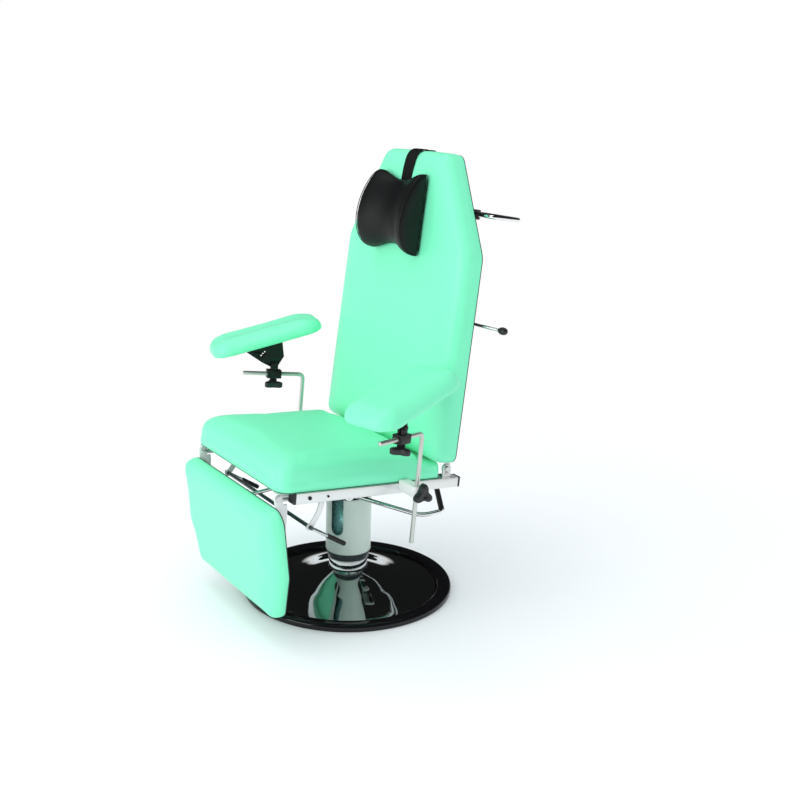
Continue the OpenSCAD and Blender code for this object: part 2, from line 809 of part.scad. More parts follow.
// Push bar: a bright rod loop behind the shoulders
push_near = 20;
push_far = 114;
push_anchor = 160;
push_bend = 24;
push_corner = push_half - push_bend;
module push_bar() {
    color(steel)
        in_back()
            translate([0, push_h, 0]) {
                both_sides() {
                    translate([push_anchor, 0, -push_near])
                        rotate([0, 90, 0])
                            cylinder(h = push_corner - push_anchor, d = push_rod);
                    translate([push_corner, 0, -push_near - push_bend])
                        rotate([90, 0, 0]) quarter_bend(push_bend, push_rod);
                    translate([push_half, 0, push_bend - push_far])
                        cylinder(h = push_far - push_near - 2 * push_bend, d = push_rod);
                    translate([push_corner, 0, push_bend - push_far])
                        rotate([-90, 0, 0]) quarter_bend(push_bend, push_rod);
                }
                translate([-push_corner, 0, -push_far])
                    rotate([0, 90, 0]) cylinder(h = 2 * push_corner, d = push_rod);
            }
}
// Clamp blocks that hold the push bar's ends on the board
clip_w = 26;
clip_places = [push_anchor + clip_w * 0.2, push_anchor + clip_w * 1.3];
module push_bar_clips() {
    color(black)
        in_back()
            both_sides()
                for (x = clip_places)
                    difference() {
                        translate([x, push_h - clip_w / 2, -push_near - push_rod])
                            cube([clip_w * 0.6, clip_w, push_near + push_rod]);
                        translate([x - over, push_h, -push_near])
                            rotate([0, 90, 0]) cylinder(h = clip_w, d = push_rod);
                    }
}
// Bracket on the board's back for the gas spring's head and the release lever
head_up = 330;
head_pin_back = 34;
bracket_plate = 60;
module spring_head() {
    color(steel)
        in_back() {
            translate([-bracket_plate / 2, head_up - bracket_plate / 2, -anchor_t])
                cube([bracket_plate, lever_up + lever_eye + anchor_t - head_up + bracket_plate / 2,
                    anchor_t]);
            for (side = [-1, 1])
                translate([side * (anchor_gap + anchor_t) / 2 - anchor_t / 2, head_up
                    - anchor_pin * 1.4, -head_pin_back - anchor_pin * 1.4])
                    difference() {
                        cube([anchor_t, anchor_pin * 2.8, head_pin_back + anchor_pin * 1.4
                            - anchor_t]);
                        translate([-over, anchor_pin * 1.4, anchor_pin * 1.4])
                            rotate([0, 90, 0]) cylinder(h = anchor_t + 2 * over, d = anchor_pin);
                    }
            // Pin that the spring's head hangs on
            translate([-anchor_gap / 2 - anchor_t, head_up, -head_pin_back])
                rotate([0, 90, 0]) cylinder(h = anchor_gap + 2 * anchor_t, d = anchor_pin);
            // Eye that carries the release lever's inner end
            translate([bracket_plate / 2 - anchor_t, lever_up - lever_eye, -lever_back
                - lever_eye])
                difference() {
                    cube([anchor_t, 2 * lever_eye, lever_back + lever_eye]);
                    translate([-over, lever_eye, lever_eye])
                        rotate([0, 90, 0])
                            cylinder(h = anchor_t + 2 * over, d = lever_d + 2 * fit_gap);
                }
        }
}
// Backrest release lever: a thin rod across the back, bent to the rear at its knob
lever_up = 378;
lever_back = 21;
lever_d = 8;
lever_eye = 9;
lever_bend_x = 267;
lever_angle = 11;
lever_tail = 83;
elbow_share = 1.12;
module back_lever() {
    color(steel)
        in_back() {
            translate([bracket_plate / 2 - 3 * anchor_t, lever_up, -lever_back])
                rotate([0, 90, 0])
                    cylinder(h = lever_bend_x - bracket_plate / 2 + 3 * anchor_t, d = lever_d);
            translate([lever_bend_x, lever_up, -lever_back]) sphere(d = lever_d * elbow_share);
            translate([lever_bend_x, lever_up, -lever_back])
                rotate([0, 90 + lever_angle, 0]) cylinder(h = lever_tail, d = lever_d);
            // Finger at the inner end that presses the spring's valve
            translate([bracket_plate / 2 - 2.6 * anchor_t, lever_up - lever_eye * 2,
                -lever_back - lever_d * 0.3])
                cube([anchor_t, lever_eye * 2, lever_d * 0.6]);
        }
}
knob_long = 28;
knob_d = 20;
module back_lever_knob() {
    color(black)
        in_back()
            translate([lever_bend_x, lever_up, -lever_back])
                rotate([0, 90 + lever_angle, 0]) translate([0, 0, lever_tail])
                    rotate_extrude()
                        polygon([for (i = [0 : 10])
                            [knob_d / 2 * sqrt(max(0, 1 - pow(i / 5 - 1, 2))),
                                knob_long * i / 10]]);
}

// Headrest strap over the top of the backrest, following the cushion's rounded edge
strap_t = 3;
strap_off = 0.3;
strap_front_low = 565;
strap_rear_low = 690;
strap_path = concat([[-strap_off, strap_rear_low], [-strap_off, back_long - strap_t]],
    [for (s = side_shares) if (s[0] < 1 || s[0] > 1.05)
        [skirt + s[1] * (back_thick - skirt) + strap_off,
            back_long - s[0] * back_margin + strap_off]],
    [[back_thick + strap_off, strap_front_low]]);
// Points moved to the left of the direction of travel along a path
function path_normal(path, i) =
    let (a = path[max(i - 1, 0)], b = path[min(i + 1, len(path) - 1)], d = (b - a) / norm(b - a))
    [-d[1], d[0]];
module headrest_strap() {
    color(black)
        in_back()
            rotate([0, -90, 0])
                translate([0, 0, -strap_w / 2])
                    linear_extrude(height = strap_w)
                        polygon(concat(strap_path,
                            [for (i = [len(strap_path) - 1 : -1 : 0])
                                strap_path[i] + strap_t * path_normal(strap_path, i)]));
}
// Saddle-shaped pillow: a D section that swells from its waist to its flat ends
pillow_back = back_thick + strap_off + strap_t + 2 * clear;
waist_deep_share = 0.55;
waist_h_share = 0.80;
d_shares = [[0, -0.5], [0.12, -0.5], [0.42, -0.48], [0.72, -0.41], [0.92, -0.29], [0.99, -0.17],
    [1, -0.06], [0.93, 0.09], [0.78, 0.24], [0.58, 0.37], [0.36, 0.46], [0.14, 0.5], [0, 0.5],
    [0, 0.25], [0, 0], [0, -0.25]];
pillow_steps = 12;
pillow_ends_shares = [1, 0.97, 0.9];
function pillow_swell(t) = 1 - pow(cos(90 * min(1, abs(t) * 1.08)), 1.6);
module headrest_pillow() {
    color(black)
        in_back()
            translate([0, pillow_up, pillow_back])
                skin([for (i = [0 : pillow_steps])
                    let (t = 1 - 2 * i / pillow_steps, s = pillow_swell(t),
                        deep = pillow_deep * (waist_deep_share + (1 - waist_deep_share) * s),
                        high = pillow_h * (waist_h_share + (1 - waist_h_share) * s))
                    [for (p = d_shares) [pillow_half * t, high * p[1], deep * p[0]]]],
                    [pillow_half, 0, pillow_deep * 0.45], [-pillow_half, 0, pillow_deep * 0.45]);
}

// Gas springs: a cylinder hinged at the cross tube and a rod whose head meets the open pivot
spring_tube_d = 28;
spring_rod_d = 10;
spring_eye = 14;
back_play = 6.5;
foot_play = 8.5;
// Both springs are drawn along +Z from their anchor and turned into place
module spring_cylinder(length) {
    difference() {
        union() {
            translate([0, 0, spring_eye])
                cylinder(h = length - spring_eye, d = spring_tube_d);
            translate([0, 0, 0])
                rotate([0, 90, 0])
                    cylinder(h = anchor_gap - 2 * clear, d = spring_eye * 1.3, center = true);
            cylinder(h = spring_eye + over, d = anchor_gap - 2 * clear);
        }
        rotate([0, 90, 0])
            cylinder(h = 2 * anchor_gap, d = anchor_pin + 2 * fit_gap, center = true);
        translate([0, 0, spring_eye * 2])
            cylinder(h = length, d = spring_rod_d + 2 * fit_gap);
    }
}
module spring_rod(from, to, play) {
    ring_r = anchor_pin / 2 + play;
    difference() {
        union() {
            translate([0, 0, from]) cylinder(h = to - from - ring_r, d = spring_rod_d);
            translate([0, 0, to])
                rotate([0, 90, 0])
                    cylinder(h = anchor_gap - 4 * clear, r = ring_r + bush_t, center = true);
        }
        translate([0, 0, to])
            rotate([0, 90, 0]) cylinder(h = 2 * anchor_gap, r = ring_r, center = true);
    }
}
// Place of the backrest spring's head pin, in the seat frame
back_head = [back_foot_y + head_up * sin(back_lean) + head_pin_back * cos(back_lean),
    back_foot_h + head_up * cos(back_lean) - head_pin_back * sin(back_lean)];
back_spring_run = back_head - back_anchor;
back_spring_long = norm(back_spring_run);
back_spring_turn = atan2(back_spring_run[0], back_spring_run[1]);
back_tube_long = 215;
module at_back_spring() {
    in_frame() translate([0, back_anchor[0], back_anchor[1]])
        rotate([-back_spring_turn, 0, 0]) children();
}
module back_spring_cylinder() {
    color(black) at_back_spring() spring_cylinder(back_tube_long);
}
module back_spring_rod() {
    color(steel) at_back_spring() spring_rod(spring_eye * 5, back_spring_long, back_play);
}

// Footrest frame: zero is the upper edge of its back plane, X across, Y up, Z to the front
foot_top = [-351.5, 382];
module in_foot() {
    translate([0, foot_top[0], foot_top[1]]) rotate([90 + foot_lean, 0, 0]) children();
}
foot_corners = [[-foot_half, -foot_taper], [-foot_half_low, -foot_long],
    [foot_half_low, -foot_long], [foot_half, -foot_taper], [foot_half, 0], [-foot_half, 0]];
foot_radii = [40, 30, 30, 40, 42, 42];
module footrest_board() {
    color(black)
        in_foot() linear_extrude(height = board_t) board_outline(foot_corners, foot_radii, 0);
}
module footrest_cushion() {
    color(mint)
        in_foot()
            difference() {
                translate([0, 0, skirt])
                    padded_panel(foot_corners, foot_radii, foot_thick - skirt, foot_margin,
                        [0, -foot_long * 0.47], 5);
                translate([0, 0, skirt - over])
                    linear_extrude(height = board_t + clear - skirt + over)
                        board_outline(foot_corners, foot_radii, clear);
            }
}
// Angle arms behind the footrest, with an eye on each pivot bolt and a spring bracket between
foot_arm_x = rail_inner + clear;
foot_arm_web = 30;
foot_arm_slim = 10;
foot_arm_taper = 120;
foot_arm_long = 235;
foot_flange = 26;
// Pivot in the footrest's own frame
pivot_world = [foot_pivot_y * cos(frame_tilt) + foot_pivot_h * sin(frame_tilt),
    rail_top - foot_pivot_y * sin(frame_tilt) + foot_pivot_h * cos(frame_tilt)];
pivot_from_top = pivot_world - foot_top;
foot_pivot_up = pivot_from_top[1] * cos(foot_lean) - pivot_from_top[0] * sin(foot_lean);
foot_pivot_out = -pivot_from_top[0] * cos(foot_lean) - pivot_from_top[1] * sin(foot_lean);
foot_head_drop = 50;
foot_head_back = 26;
strip_low = 95;
module footrest_arms() {
    color(white_metal)
        in_foot() {
            both_sides()
                difference() {
                    union() {
                        translate([foot_arm_x, 0, 0])
                            rotate([90, 0, 90]) linear_extrude(height = lug_t)
                                polygon([[-foot_arm_long, -clear], [-foot_arm_long,
                                    -foot_arm_slim], [-foot_arm_taper, -foot_arm_slim],
                                    [-lug_r, -foot_arm_web], [0, -foot_arm_web], [0, -clear]]);
                        translate([foot_arm_x, -over, foot_pivot_out - lug_r + 2 * over])
                            cube([lug_t, foot_pivot_up + over, 2 * lug_r - 4 * over]);
                        translate([foot_arm_x, foot_pivot_up, foot_pivot_out])
                            rotate([0, 90, 0]) cylinder(h = lug_t, r = lug_r - over);
                        translate([foot_arm_x - foot_flange, -foot_arm_long, -lug_t / 2 - clear])
                            cube([foot_flange, foot_arm_long - rail_w, lug_t / 2]);
                    }
                    translate([foot_arm_x - over, foot_pivot_up, foot_pivot_out])
                        rotate([0, 90, 0])
                            cylinder(h = lug_t + 2 * over, d = hinge_pin_d + 2 * fit_gap);
                }
            // Cross strip between the arms, with the gas spring's two ears and its pin
            translate([foot_flange - foot_arm_x - over, -strip_low, -lug_t / 2 - clear])
                cube([2 * (foot_arm_x - foot_flange + over), rail_w, lug_t / 2]);
            for (side = [-1, 1])
                translate([side * (anchor_gap + anchor_t) / 2 - anchor_t / 2, -strip_low,
                    -foot_head_back - anchor_pin * 1.4])
                    cube([anchor_t, strip_low - foot_head_drop + anchor_pin * 1.4,
                        foot_head_back + anchor_pin * 1.4 - lug_t / 2]);
            translate([-anchor_gap / 2 - anchor_t, -foot_head_drop, -foot_head_back])
                rotate([0, 90, 0]) cylinder(h = anchor_gap + 2 * anchor_t, d = anchor_pin);
        }
}
// Place of the footrest spring's head pin, in the seat frame
foot_head_world = foot_top + [
    foot_head_drop * sin(foot_lean) + foot_head_back * cos(foot_lean),
    -foot_head_drop * cos(foot_lean) + foot_head_back * sin(foot_lean)];
foot_head = [foot_head_world[0] * cos(frame_tilt) - (foot_head_world[1] - rail_top)
    * sin(frame_tilt), foot_head_world[0] * sin(frame_tilt) + (foot_head_world[1] - rail_top)
    * cos(frame_tilt)];
foot_spring_run = foot_head - foot_anchor;
foot_spring_long = norm(foot_spring_run);
foot_spring_turn = atan2(foot_spring_run[0], foot_spring_run[1]);
foot_tube_long = 128;
module at_foot_spring() {
    in_frame() translate([0, foot_anchor[0], foot_anchor[1]])
        rotate([-foot_spring_turn, 0, 0]) children();
}
module foot_spring_cylinder() {
    color(black) at_foot_spring() spring_cylinder(foot_tube_long);
}
module foot_spring_rod() {
    color(steel) at_foot_spring() spring_rod(spring_eye * 3, foot_spring_long, foot_play);
}

// Release shaft across the chair, with a hand lever at each end
lever_down = 28;
lever_run = 114;
grip_from = 55;
grip_d = 13;
lever_rod_d = 9;
lever_x = hanger_x + hanger_t / 2 + clear + lever_rod_d * 0.6;
shaft_half = lever_x + lever_rod_d * 0.7;
module at_shaft() {
    in_frame() translate([0, -shaft_y, -shaft_drop]) children();
}
lever_dir = [0, cos(lever_down), -sin(lever_down)];
module release_shaft() {
    color([0.25, 0.28, 0.29])
        at_shaft() {
            rotate([0, 90, 0]) cylinder(h = 2 * shaft_half, d = shaft_d, center = true);
            both_sides()
                bar_between([lever_x, 0, 0], [lever_x, 0, 0] + lever_run * lever_dir,
                    lever_rod_d);
        }
}
module lever_grips() {
    color(black)
        at_shaft()
            both_sides()
                translate([lever_x, 0, 0])
                    rotate([-90 - lever_down, 0, 0])
                        difference() {
                            translate([0, 0, grip_from])
                                cylinder(h = lever_run - grip_from + lever_rod_d / 2, d = grip_d);
                            translate([0, 0, grip_from - over])
                                cylinder(h = lever_run - grip_from + over, d = lever_rod_d);
                        }
}

// One arm: drawn for the left side with its rod at the frame's own place
stud_d = 8;
star_d = 60;
star_t = 19;
star_lobes = 3;
// A star knob along +Z: three lobes on a boss, with its threaded stud below
module star_knob(stud_long) {
    translate([0, 0, -stud_long]) cylinder(h = stud_long + over, d = stud_d);
    cylinder(h = star_t * 0.45, d = star_d * 0.4);
    translate([0, 0, star_t * 0.3]) {
        cylinder(h = star_t, d = star_d * 0.5);
        for (i = [0 : star_lobes - 1])
            rotate([0, 0, 90 + i * 360 / star_lobes]) {
                translate([star_d * 0.34, 0, 0]) cylinder(h = star_t * 0.92, d = star_d * 0.32);
                translate([0, -star_d * 0.13, 0])
                    cube([star_d * 0.34, star_d * 0.26, star_t * 0.96]);
            }
    }
}
module rail_knob() {
    color(black)
        in_frame()
            translate([arm_x + clamp_w / 2 + clear, arm_y, clamp_mid])
                rotate([0, 90, 0]) star_knob(clamp_w / 2 - bush_r - clear - over);
}
module rod_bush() {
    color(white_metal)
        in_frame()
            translate([arm_x, arm_y, clamp_mid - clamp_h / 2])
                difference() {
                    cylinder(h = clamp_h, r = bush_r);
                    translate([0, 0, -over])
                        cylinder(h = clamp_h + 2 * over, d = arm_rod + 2 * fit_gap);
                }
}
// Places its children at the bend of an arm rod, with -Y along the rod's horizontal part
module at_bend(top, turn) {
    in_frame() translate([arm_x, arm_y, top]) rotate([0, 0, turn]) children();
}
arm_bend = 16;
module arm_rod_shape(top, turn) {
    color(steel)
        at_bend(top, turn) {
            translate([0, 0, -arm_drop])
                cylinder(h = arm_drop - arm_bend, d = arm_rod);
            translate([0, -arm_bend, -arm_bend])
                rotate([90, 0, 90]) rotate_extrude(angle = 90) translate([arm_bend, 0])
                    circle(d = arm_rod);
            translate([0, -arm_bend, 0])
                rotate([90, 0, 0]) cylinder(h = arm_reach - arm_bend, d = arm_rod);
        }
}
// Pad clamp: a bored block on the rod with two ears that hold the pad's pivot bolt
pad_along = 90;
block_long = 42;
block_w = 28;
block_h = 24;
fan_t = 4;
ear_t = 6;
pivot_up = 28;
pad_pin = 8;
module at_pad(top, turn) {
    at_bend(top, turn) translate([0, -pad_along, 0]) children();
}
module pad_clamp(top, turn) {
    color(black)
        at_pad(top, turn) {
            difference() {
                union() {
                    translate([-block_w / 2, -block_long / 2, -block_h / 2])
                        cube([block_w, block_long, block_h]);
                    for (side = [-1, 1])
                        translate([side * (fan_t / 2 + clear + ear_t / 2) - ear_t / 2, 0, 0]) {
                            translate([0, -pad_pin * 1.3, 0])
                                cube([ear_t, pad_pin * 2.6, pivot_up]);
                            translate([0, 0, pivot_up])
                                rotate([0, 90, 0]) cylinder(h = ear_t, r = pad_pin * 1.3);
                        }
                }
                rotate([90, 0, 0])
                    cylinder(h = 2 * block_long, d = arm_rod + 2 * fit_gap, center = true);
                translate([0, 0, -block_h])
                    cylinder(h = block_h, d = stud_d + 2 * fit_gap);
            }
            // Pivot bolt through both ears and the fan plate
            translate([-fan_t / 2 - clear - ear_t, 0, pivot_up])
                rotate([0, 90, 0])
                    cylinder(h = fan_t + 2 * clear + 2 * ear_t, d = pad_pin);
            for (side = [-1, 1])
                translate([side * (fan_t / 2 + clear + ear_t + pad_pin / 4), 0, pivot_up])
                    rotate([0, 90, 0]) cylinder(h = pad_pin / 2, d = pad_pin * 1.7, center = true);
        }
}
knob_drop = 4;
module clamp_knob(top, turn) {
    color(black)
        at_pad(top, turn)
            translate([0, 0, -block_h / 2 - knob_drop])
                rotate([180, 0, 0])
                    star_knob(block_h / 2 - arm_rod / 2 + knob_drop - 2 * clear - over / 2);
}
// Pad frame: zero is the pivot bolt, turned by the pad's slope, -Y to the pad's front
module in_pad(top, turn, slope) {
    at_pad(top, turn) translate([0, 0, pivot_up]) rotate([slope, 0, 0]) children();
}
pad_under = 72;
pad_ahead = 3;
pad_out = 12;
pad_board_t = 6;
fan_front = 74;
fan_back = 42;
fan_waist = 34;
fan_waist_up = 16;
index_r = 49;
index_d = 4.5;
index_first = -40;
index_step = 9;
index_last = -22;
// Fan plate: narrow at the bolt, wide under the pad, with a row of tilt holes
module pad_fan(top, turn, slope) {
    color(black)
        in_pad(top, turn, slope) {
            translate([-fan_t / 2, 0, 0])
                rotate([90, 0, 90])
                    linear_extrude(height = fan_t)
                        difference() {
                            union() {
                                circle(r = pad_pin * 1.5);
                                polygon([[-pad_pin, -pad_pin], [pad_pin, -pad_pin],
                                    [fan_waist, fan_waist_up], [fan_back, pad_under],
                                    [-fan_front, pad_under], [-fan_front, pad_under * 0.86],
                                    [-fan_waist, fan_waist_up]]);
                            }
                            circle(d = pad_pin + 2 * fit_gap);
                            for (a = [index_first : index_step : index_last])
                                translate(index_r * [sin(a), cos(a)]) circle(d = index_d);
                        }
            // Flange that is screwed to the pad's board
            translate([-block_w, -fan_front, pad_under - fan_t])
                cube([2 * block_w, fan_front + fan_back, fan_t]);
        }
}
pad_corners = [[-pad_w_front / 2, -pad_long / 2], [pad_w_front / 2, -pad_long / 2],
    [pad_w_rear / 2, pad_long / 2], [-pad_w_rear / 2, pad_long / 2]];
pad_radii = [50, 50, 56, 56];
pad_board_inset = 14;
module at_pad_middle(top, turn, slope) {
    in_pad(top, turn, slope) translate([pad_out, -pad_ahead, pad_under]) children();
}
module pad_board(top, turn, slope) {
    color(black)
        at_pad_middle(top, turn, slope)
            linear_extrude(height = pad_board_t)
                polygon(rounded_ring(pad_corners, pad_radii, pad_board_inset, 6));
}
// Arm pad: soft round edges and a shallow trough along the middle for the arm
pad_shares = [[0.03, 0], [0, 0.08], [0.01, 0.3], [0.05, 0.54], [0.13, 0.78], [0.28, 0.94],
    [0.5, 1]];
pad_trough = 6;
function pad_dip(x) = pad_trough * pow(max(0, 1 - pow(x / (pad_w_rear * 0.34), 2)), 1.5);
module pad_cushion(top, turn, slope) {
    half = pad_w_rear / 2;
    rings = [for (s = pad_shares)
        [for (p = rounded_ring(pad_corners, pad_radii, s[0] * half, 6))
            [p[0], p[1], s[1] * pad_thick - (s[1] > 0.9 ? pad_dip(p[0]) : 0)]]];
    spine = [for (t = [1, 0.6, 0.25]) let (last = rings[len(rings) - 1])
        [for (p = last) [p[0] * t, p[1] * (0.72 + 0.28 * t), pad_thick - pad_dip(p[0] * t)]]];
    color(mint)
        at_pad_middle(top, turn, slope)
            difference() {
                translate([0, 0, over])
                    skin(concat(rings, [spine[1], spine[2]]), [0, 0, 0],
                        [0, 0, pad_thick - pad_trough]);
                translate([0, 0, -over])
                    linear_extrude(height = pad_board_t + over + clear)
                        polygon(rounded_ring(pad_corners, pad_radii,
                            pad_board_inset - clear, 6));
            }
}

floor_plate();
base_plate();
base_rim();
column_collar();
collar_ring();
column_cover();
pump_cylinder();
pump_head();
pedal_pins();
pedal_bar();
pedal_sleeve();
lift_ram();
swivel_hub();
mount_plate();
cross_tubes();
side_rails();
rail_plugs();
rail_bolts();
footrest_lugs();
hinge_pins();
back_brackets();
lever_hangers();
rod_clamps();
seat_board();
seat_cushion();
back_board();
back_cushion();
back_straps();
push_bar();
push_bar_clips();
spring_head();
headrest_strap();
headrest_pillow();
back_lever();
back_lever_knob();
back_spring_cylinder();
back_spring_rod();
footrest_arms();
footrest_board();
footrest_cushion();
release_shaft();
lever_grips();
foot_spring_cylinder();
foot_spring_rod();
rod_bush();  // rod_bush_left
arm_rod_shape(arm_top_left, arm_turn_left);  // arm_rod_left
pad_clamp(arm_top_left, arm_turn_left);  // pad_clamp_left
pad_fan(arm_top_left, arm_turn_left, pad_slope_left);  // pad_fan_left
pad_board(arm_top_left, arm_turn_left, pad_slope_left);  // pad_board_left
pad_cushion(arm_top_left, arm_turn_left, pad_slope_left);  // pad_cushion_left
clamp_knob(arm_top_left, arm_turn_left);  // clamp_knob_left
rail_knob();  // rail_knob_left
mirror([1, 0, 0]) rod_bush();  // rod_bush_right
mirror([1, 0, 0]) arm_rod_shape(arm_top_right, arm_turn_right);  // arm_rod_right
mirror([1, 0, 0]) pad_clamp(arm_top_right, arm_turn_right);  // pad_clamp_right
mirror([1, 0, 0]) pad_fan(arm_top_right, arm_turn_right, pad_slope_right);  // pad_fan_right
mirror([1, 0, 0]) pad_board(arm_top_right, arm_turn_right, pad_slope_right);  // pad_board_right
mirror([1, 0, 0]) pad_cushion(arm_top_right, arm_turn_right, pad_slope_right);  // pad_cushion_right
mirror([1, 0, 0]) clamp_knob(arm_top_right, arm_turn_right);  // clamp_knob_right
mirror([1, 0, 0]) rail_knob();  // rail_knob_right
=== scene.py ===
import math

import bmesh
import bpy
import numpy as np
from mathutils import Matrix, Vector


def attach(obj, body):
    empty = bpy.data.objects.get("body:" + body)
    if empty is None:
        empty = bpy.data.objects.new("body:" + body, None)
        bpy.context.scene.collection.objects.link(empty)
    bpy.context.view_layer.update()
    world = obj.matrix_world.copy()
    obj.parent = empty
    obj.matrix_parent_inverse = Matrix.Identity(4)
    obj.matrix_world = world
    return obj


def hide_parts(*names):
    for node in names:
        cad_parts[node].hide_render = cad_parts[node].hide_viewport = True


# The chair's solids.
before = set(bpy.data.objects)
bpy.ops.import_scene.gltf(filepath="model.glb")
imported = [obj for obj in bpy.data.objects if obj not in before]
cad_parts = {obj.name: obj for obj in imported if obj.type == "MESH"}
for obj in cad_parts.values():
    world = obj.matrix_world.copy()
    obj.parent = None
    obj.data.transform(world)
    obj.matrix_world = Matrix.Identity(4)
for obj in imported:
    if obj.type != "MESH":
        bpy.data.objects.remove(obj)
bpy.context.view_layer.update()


# Camera: left of the patient and a little above the seat, at the height of a person's chest,
# 3.2 m away with a normal lens.
lens = bpy.data.cameras.new("lens")
lens.lens = 49.71
lens.sensor_width = 36.0
lens.clip_start = 0.05
lens.clip_end = 60.0
camera = bpy.data.objects.new("camera", lens)
bpy.context.scene.collection.objects.link(camera)
camera_right = (0.554423, 0.831806, 0.026707)
camera_up = (-0.233868, 0.124923, 0.964209)
camera_back = (0.798699, -0.540826, 0.263793)
camera_place = (2.526667, -1.544673, 1.370264)
camera.matrix_world = Matrix.Translation(camera_place) @ Matrix(
    (camera_right, camera_up, camera_back)
).transposed().to_4x4()
bpy.context.scene.camera = camera
bpy.context.scene.view_settings.view_transform = "Standard"


# Studio: white paper floor that runs out into a white backdrop, a broad soft box in front of
# the chair and a weaker one overhead. The room above is dim, so gloss shows dark there.
class Term:
    """One field of numbers in a node tree. + - and * lay a Math node, with a number or another
    field on either side, so a formula reads as it is written."""

    def __init__(self, tree, socket):
        self.tree, self.socket = tree, socket

    def _join(self, kind, a, b):
        return Term(self.tree, lay(self.tree, "Math", {0: a, 1: b}, operation=kind).outputs[0])

    def __add__(self, other):
        return self._join("ADD", self, other)

    def __sub__(self, other):
        return self._join("SUBTRACT", self, other)

    def __rsub__(self, other):
        return self._join("SUBTRACT", other, self)

    def __mul__(self, other):
        return self._join("MULTIPLY", self, other)

    __radd__, __rmul__ = __add__, __mul__

    def at_least(self, other):
        return self._join("MAXIMUM", self, other)

    def between(self, low, high):
        """0 below low, 1 above high, and an even rise in between."""
        ramp = lay(self.tree, "MapRange", {"Value": self, "From Min": low, "From Max": high})
        return Term(self.tree, ramp.outputs["Result"])


def lay(tree, kind, inputs=None, **settings):
    """Lays one node: inputs are values, fields or sockets by name, settings its properties."""
    node = tree.nodes.new("ShaderNode" + kind)
    for key, value in settings.items():
        setattr(node, key, value)
    for key, value in (inputs or {}).items():
        if isinstance(value, Term):
            tree.links.new(value.socket, node.inputs[key])
        elif isinstance(value, bpy.types.NodeSocket):
            tree.links.new(value, node.inputs[key])
        else:
            node.inputs[key].default_value = value
    return node


room = bpy.data.worlds.new("room")
bpy.context.scene.world = room
room.use_nodes = True
tree = room.node_tree
tree.nodes.clear()
rays = lay(tree, "LightPath")
shown = Term(tree, rays.outputs["Is Camera Ray"]).at_least(
    Term(tree, rays.outputs["Is Transmission Ray"])
)
gloss = Term(tree, rays.outputs["Is Glossy Ray"])
height = Term(
    tree,
    lay(
        tree, "SeparateXYZ", {0: lay(tree, "TexCoord").outputs["Generated"]}
    ).outputs["Z"],
)
dim = height.between(0.005, 0.07) * -0.985 + 1.0
backdrop = lay(
    tree,
    "Background",
    {"Color": (1, 1, 1, 1), "Strength": shown.at_least(gloss * dim)},
)
lamp_light = lay(
    tree, "Background", {"Color": (0.95, 0.98, 1.0, 1), "Strength": 1.0}
)
mixed = lay(tree, "MixShader", {0: shown.at_least(gloss)})
tree.links.new(lamp_light.outputs[0], mixed.inputs[1])
tree.links.new(backdrop.outputs[0], mixed.inputs[2])
tree.links.new(mixed.outputs[0], lay(tree, "OutputWorld").inputs[0])


def soft_box(name, place, aim, size, power, tint=(1, 1, 1)):
    """A square lamp at place that faces aim."""
    lamp = bpy.data.lights.new(name, "AREA")
    lamp.size = size
    lamp.energy = power
    lamp.color = tint
    stand = bpy.data.objects.new(name, lamp)
    bpy.context.scene.collection.objects.link(stand)
    toward = Vector(aim) - Vector(place)
    stand.matrix_world = (
        Matrix.Translation(place) @ toward.to_track_quat("-Z", "Y").to_matrix().to_4x4()
    )
    return stand


soft_box("key_box", (0.6, -4.2, 1.7), (0, 0, 0.6), 2.2, 60)
soft_box("top_box", (-0.6, -0.9, 4.6), (0, 0, 0.4), 2.2, 30)

floor_mesh = bpy.data.meshes.new("paper_floor")
floor_sides, reach = 96, np.array([0.35, 0.8, 1.4, 2.2])
turns = np.linspace(0, 2 * np.pi, floor_sides + 1)[:-1]
floor_ring = np.stack(
    [
        np.cos(turns)[None] * reach[:, None],
        np.sin(turns)[None] * reach[:, None],
        np.zeros((len(reach), floor_sides)),
    ],
    -1,
).reshape(-1, 3)
k = np.arange(floor_sides)
n = (k + 1) % floor_sides
floor_faces = [list(range(floor_sides))]
for j in np.arange(len(reach) - 1) * floor_sides:
    floor_faces += np.stack([j + k, j + floor_sides + k, j + floor_sides + n, j + n], -1).tolist()
floor_mesh.from_pydata(floor_ring.tolist(), [], floor_faces)
paper_floor = bpy.data.objects.new("paper_floor", floor_mesh)
bpy.context.scene.collection.objects.link(paper_floor)
paper = bpy.data.materials.new("paper")
paper.use_nodes = True
tree = paper.node_tree
tree.nodes.clear()
spot = lay(
    tree, "VectorMath", {0: lay(tree, "TexCoord").outputs["Object"]}, operation="LENGTH"
)
faded = Term(tree, spot.outputs["Value"]).between(0.95, 1.9)
sheet_of_paper = lay(tree, "BsdfDiffuse", {"Color": (0.93, 0.955, 0.975, 1)})
nothing = lay(tree, "BsdfTransparent")
both = lay(tree, "MixShader", {0: faded})
tree.links.new(sheet_of_paper.outputs[0], both.inputs[1])
tree.links.new(nothing.outputs[0], both.inputs[2])
tree.links.new(both.outputs[0], lay(tree, "OutputMaterial").inputs[0])
floor_mesh.materials.append(paper)


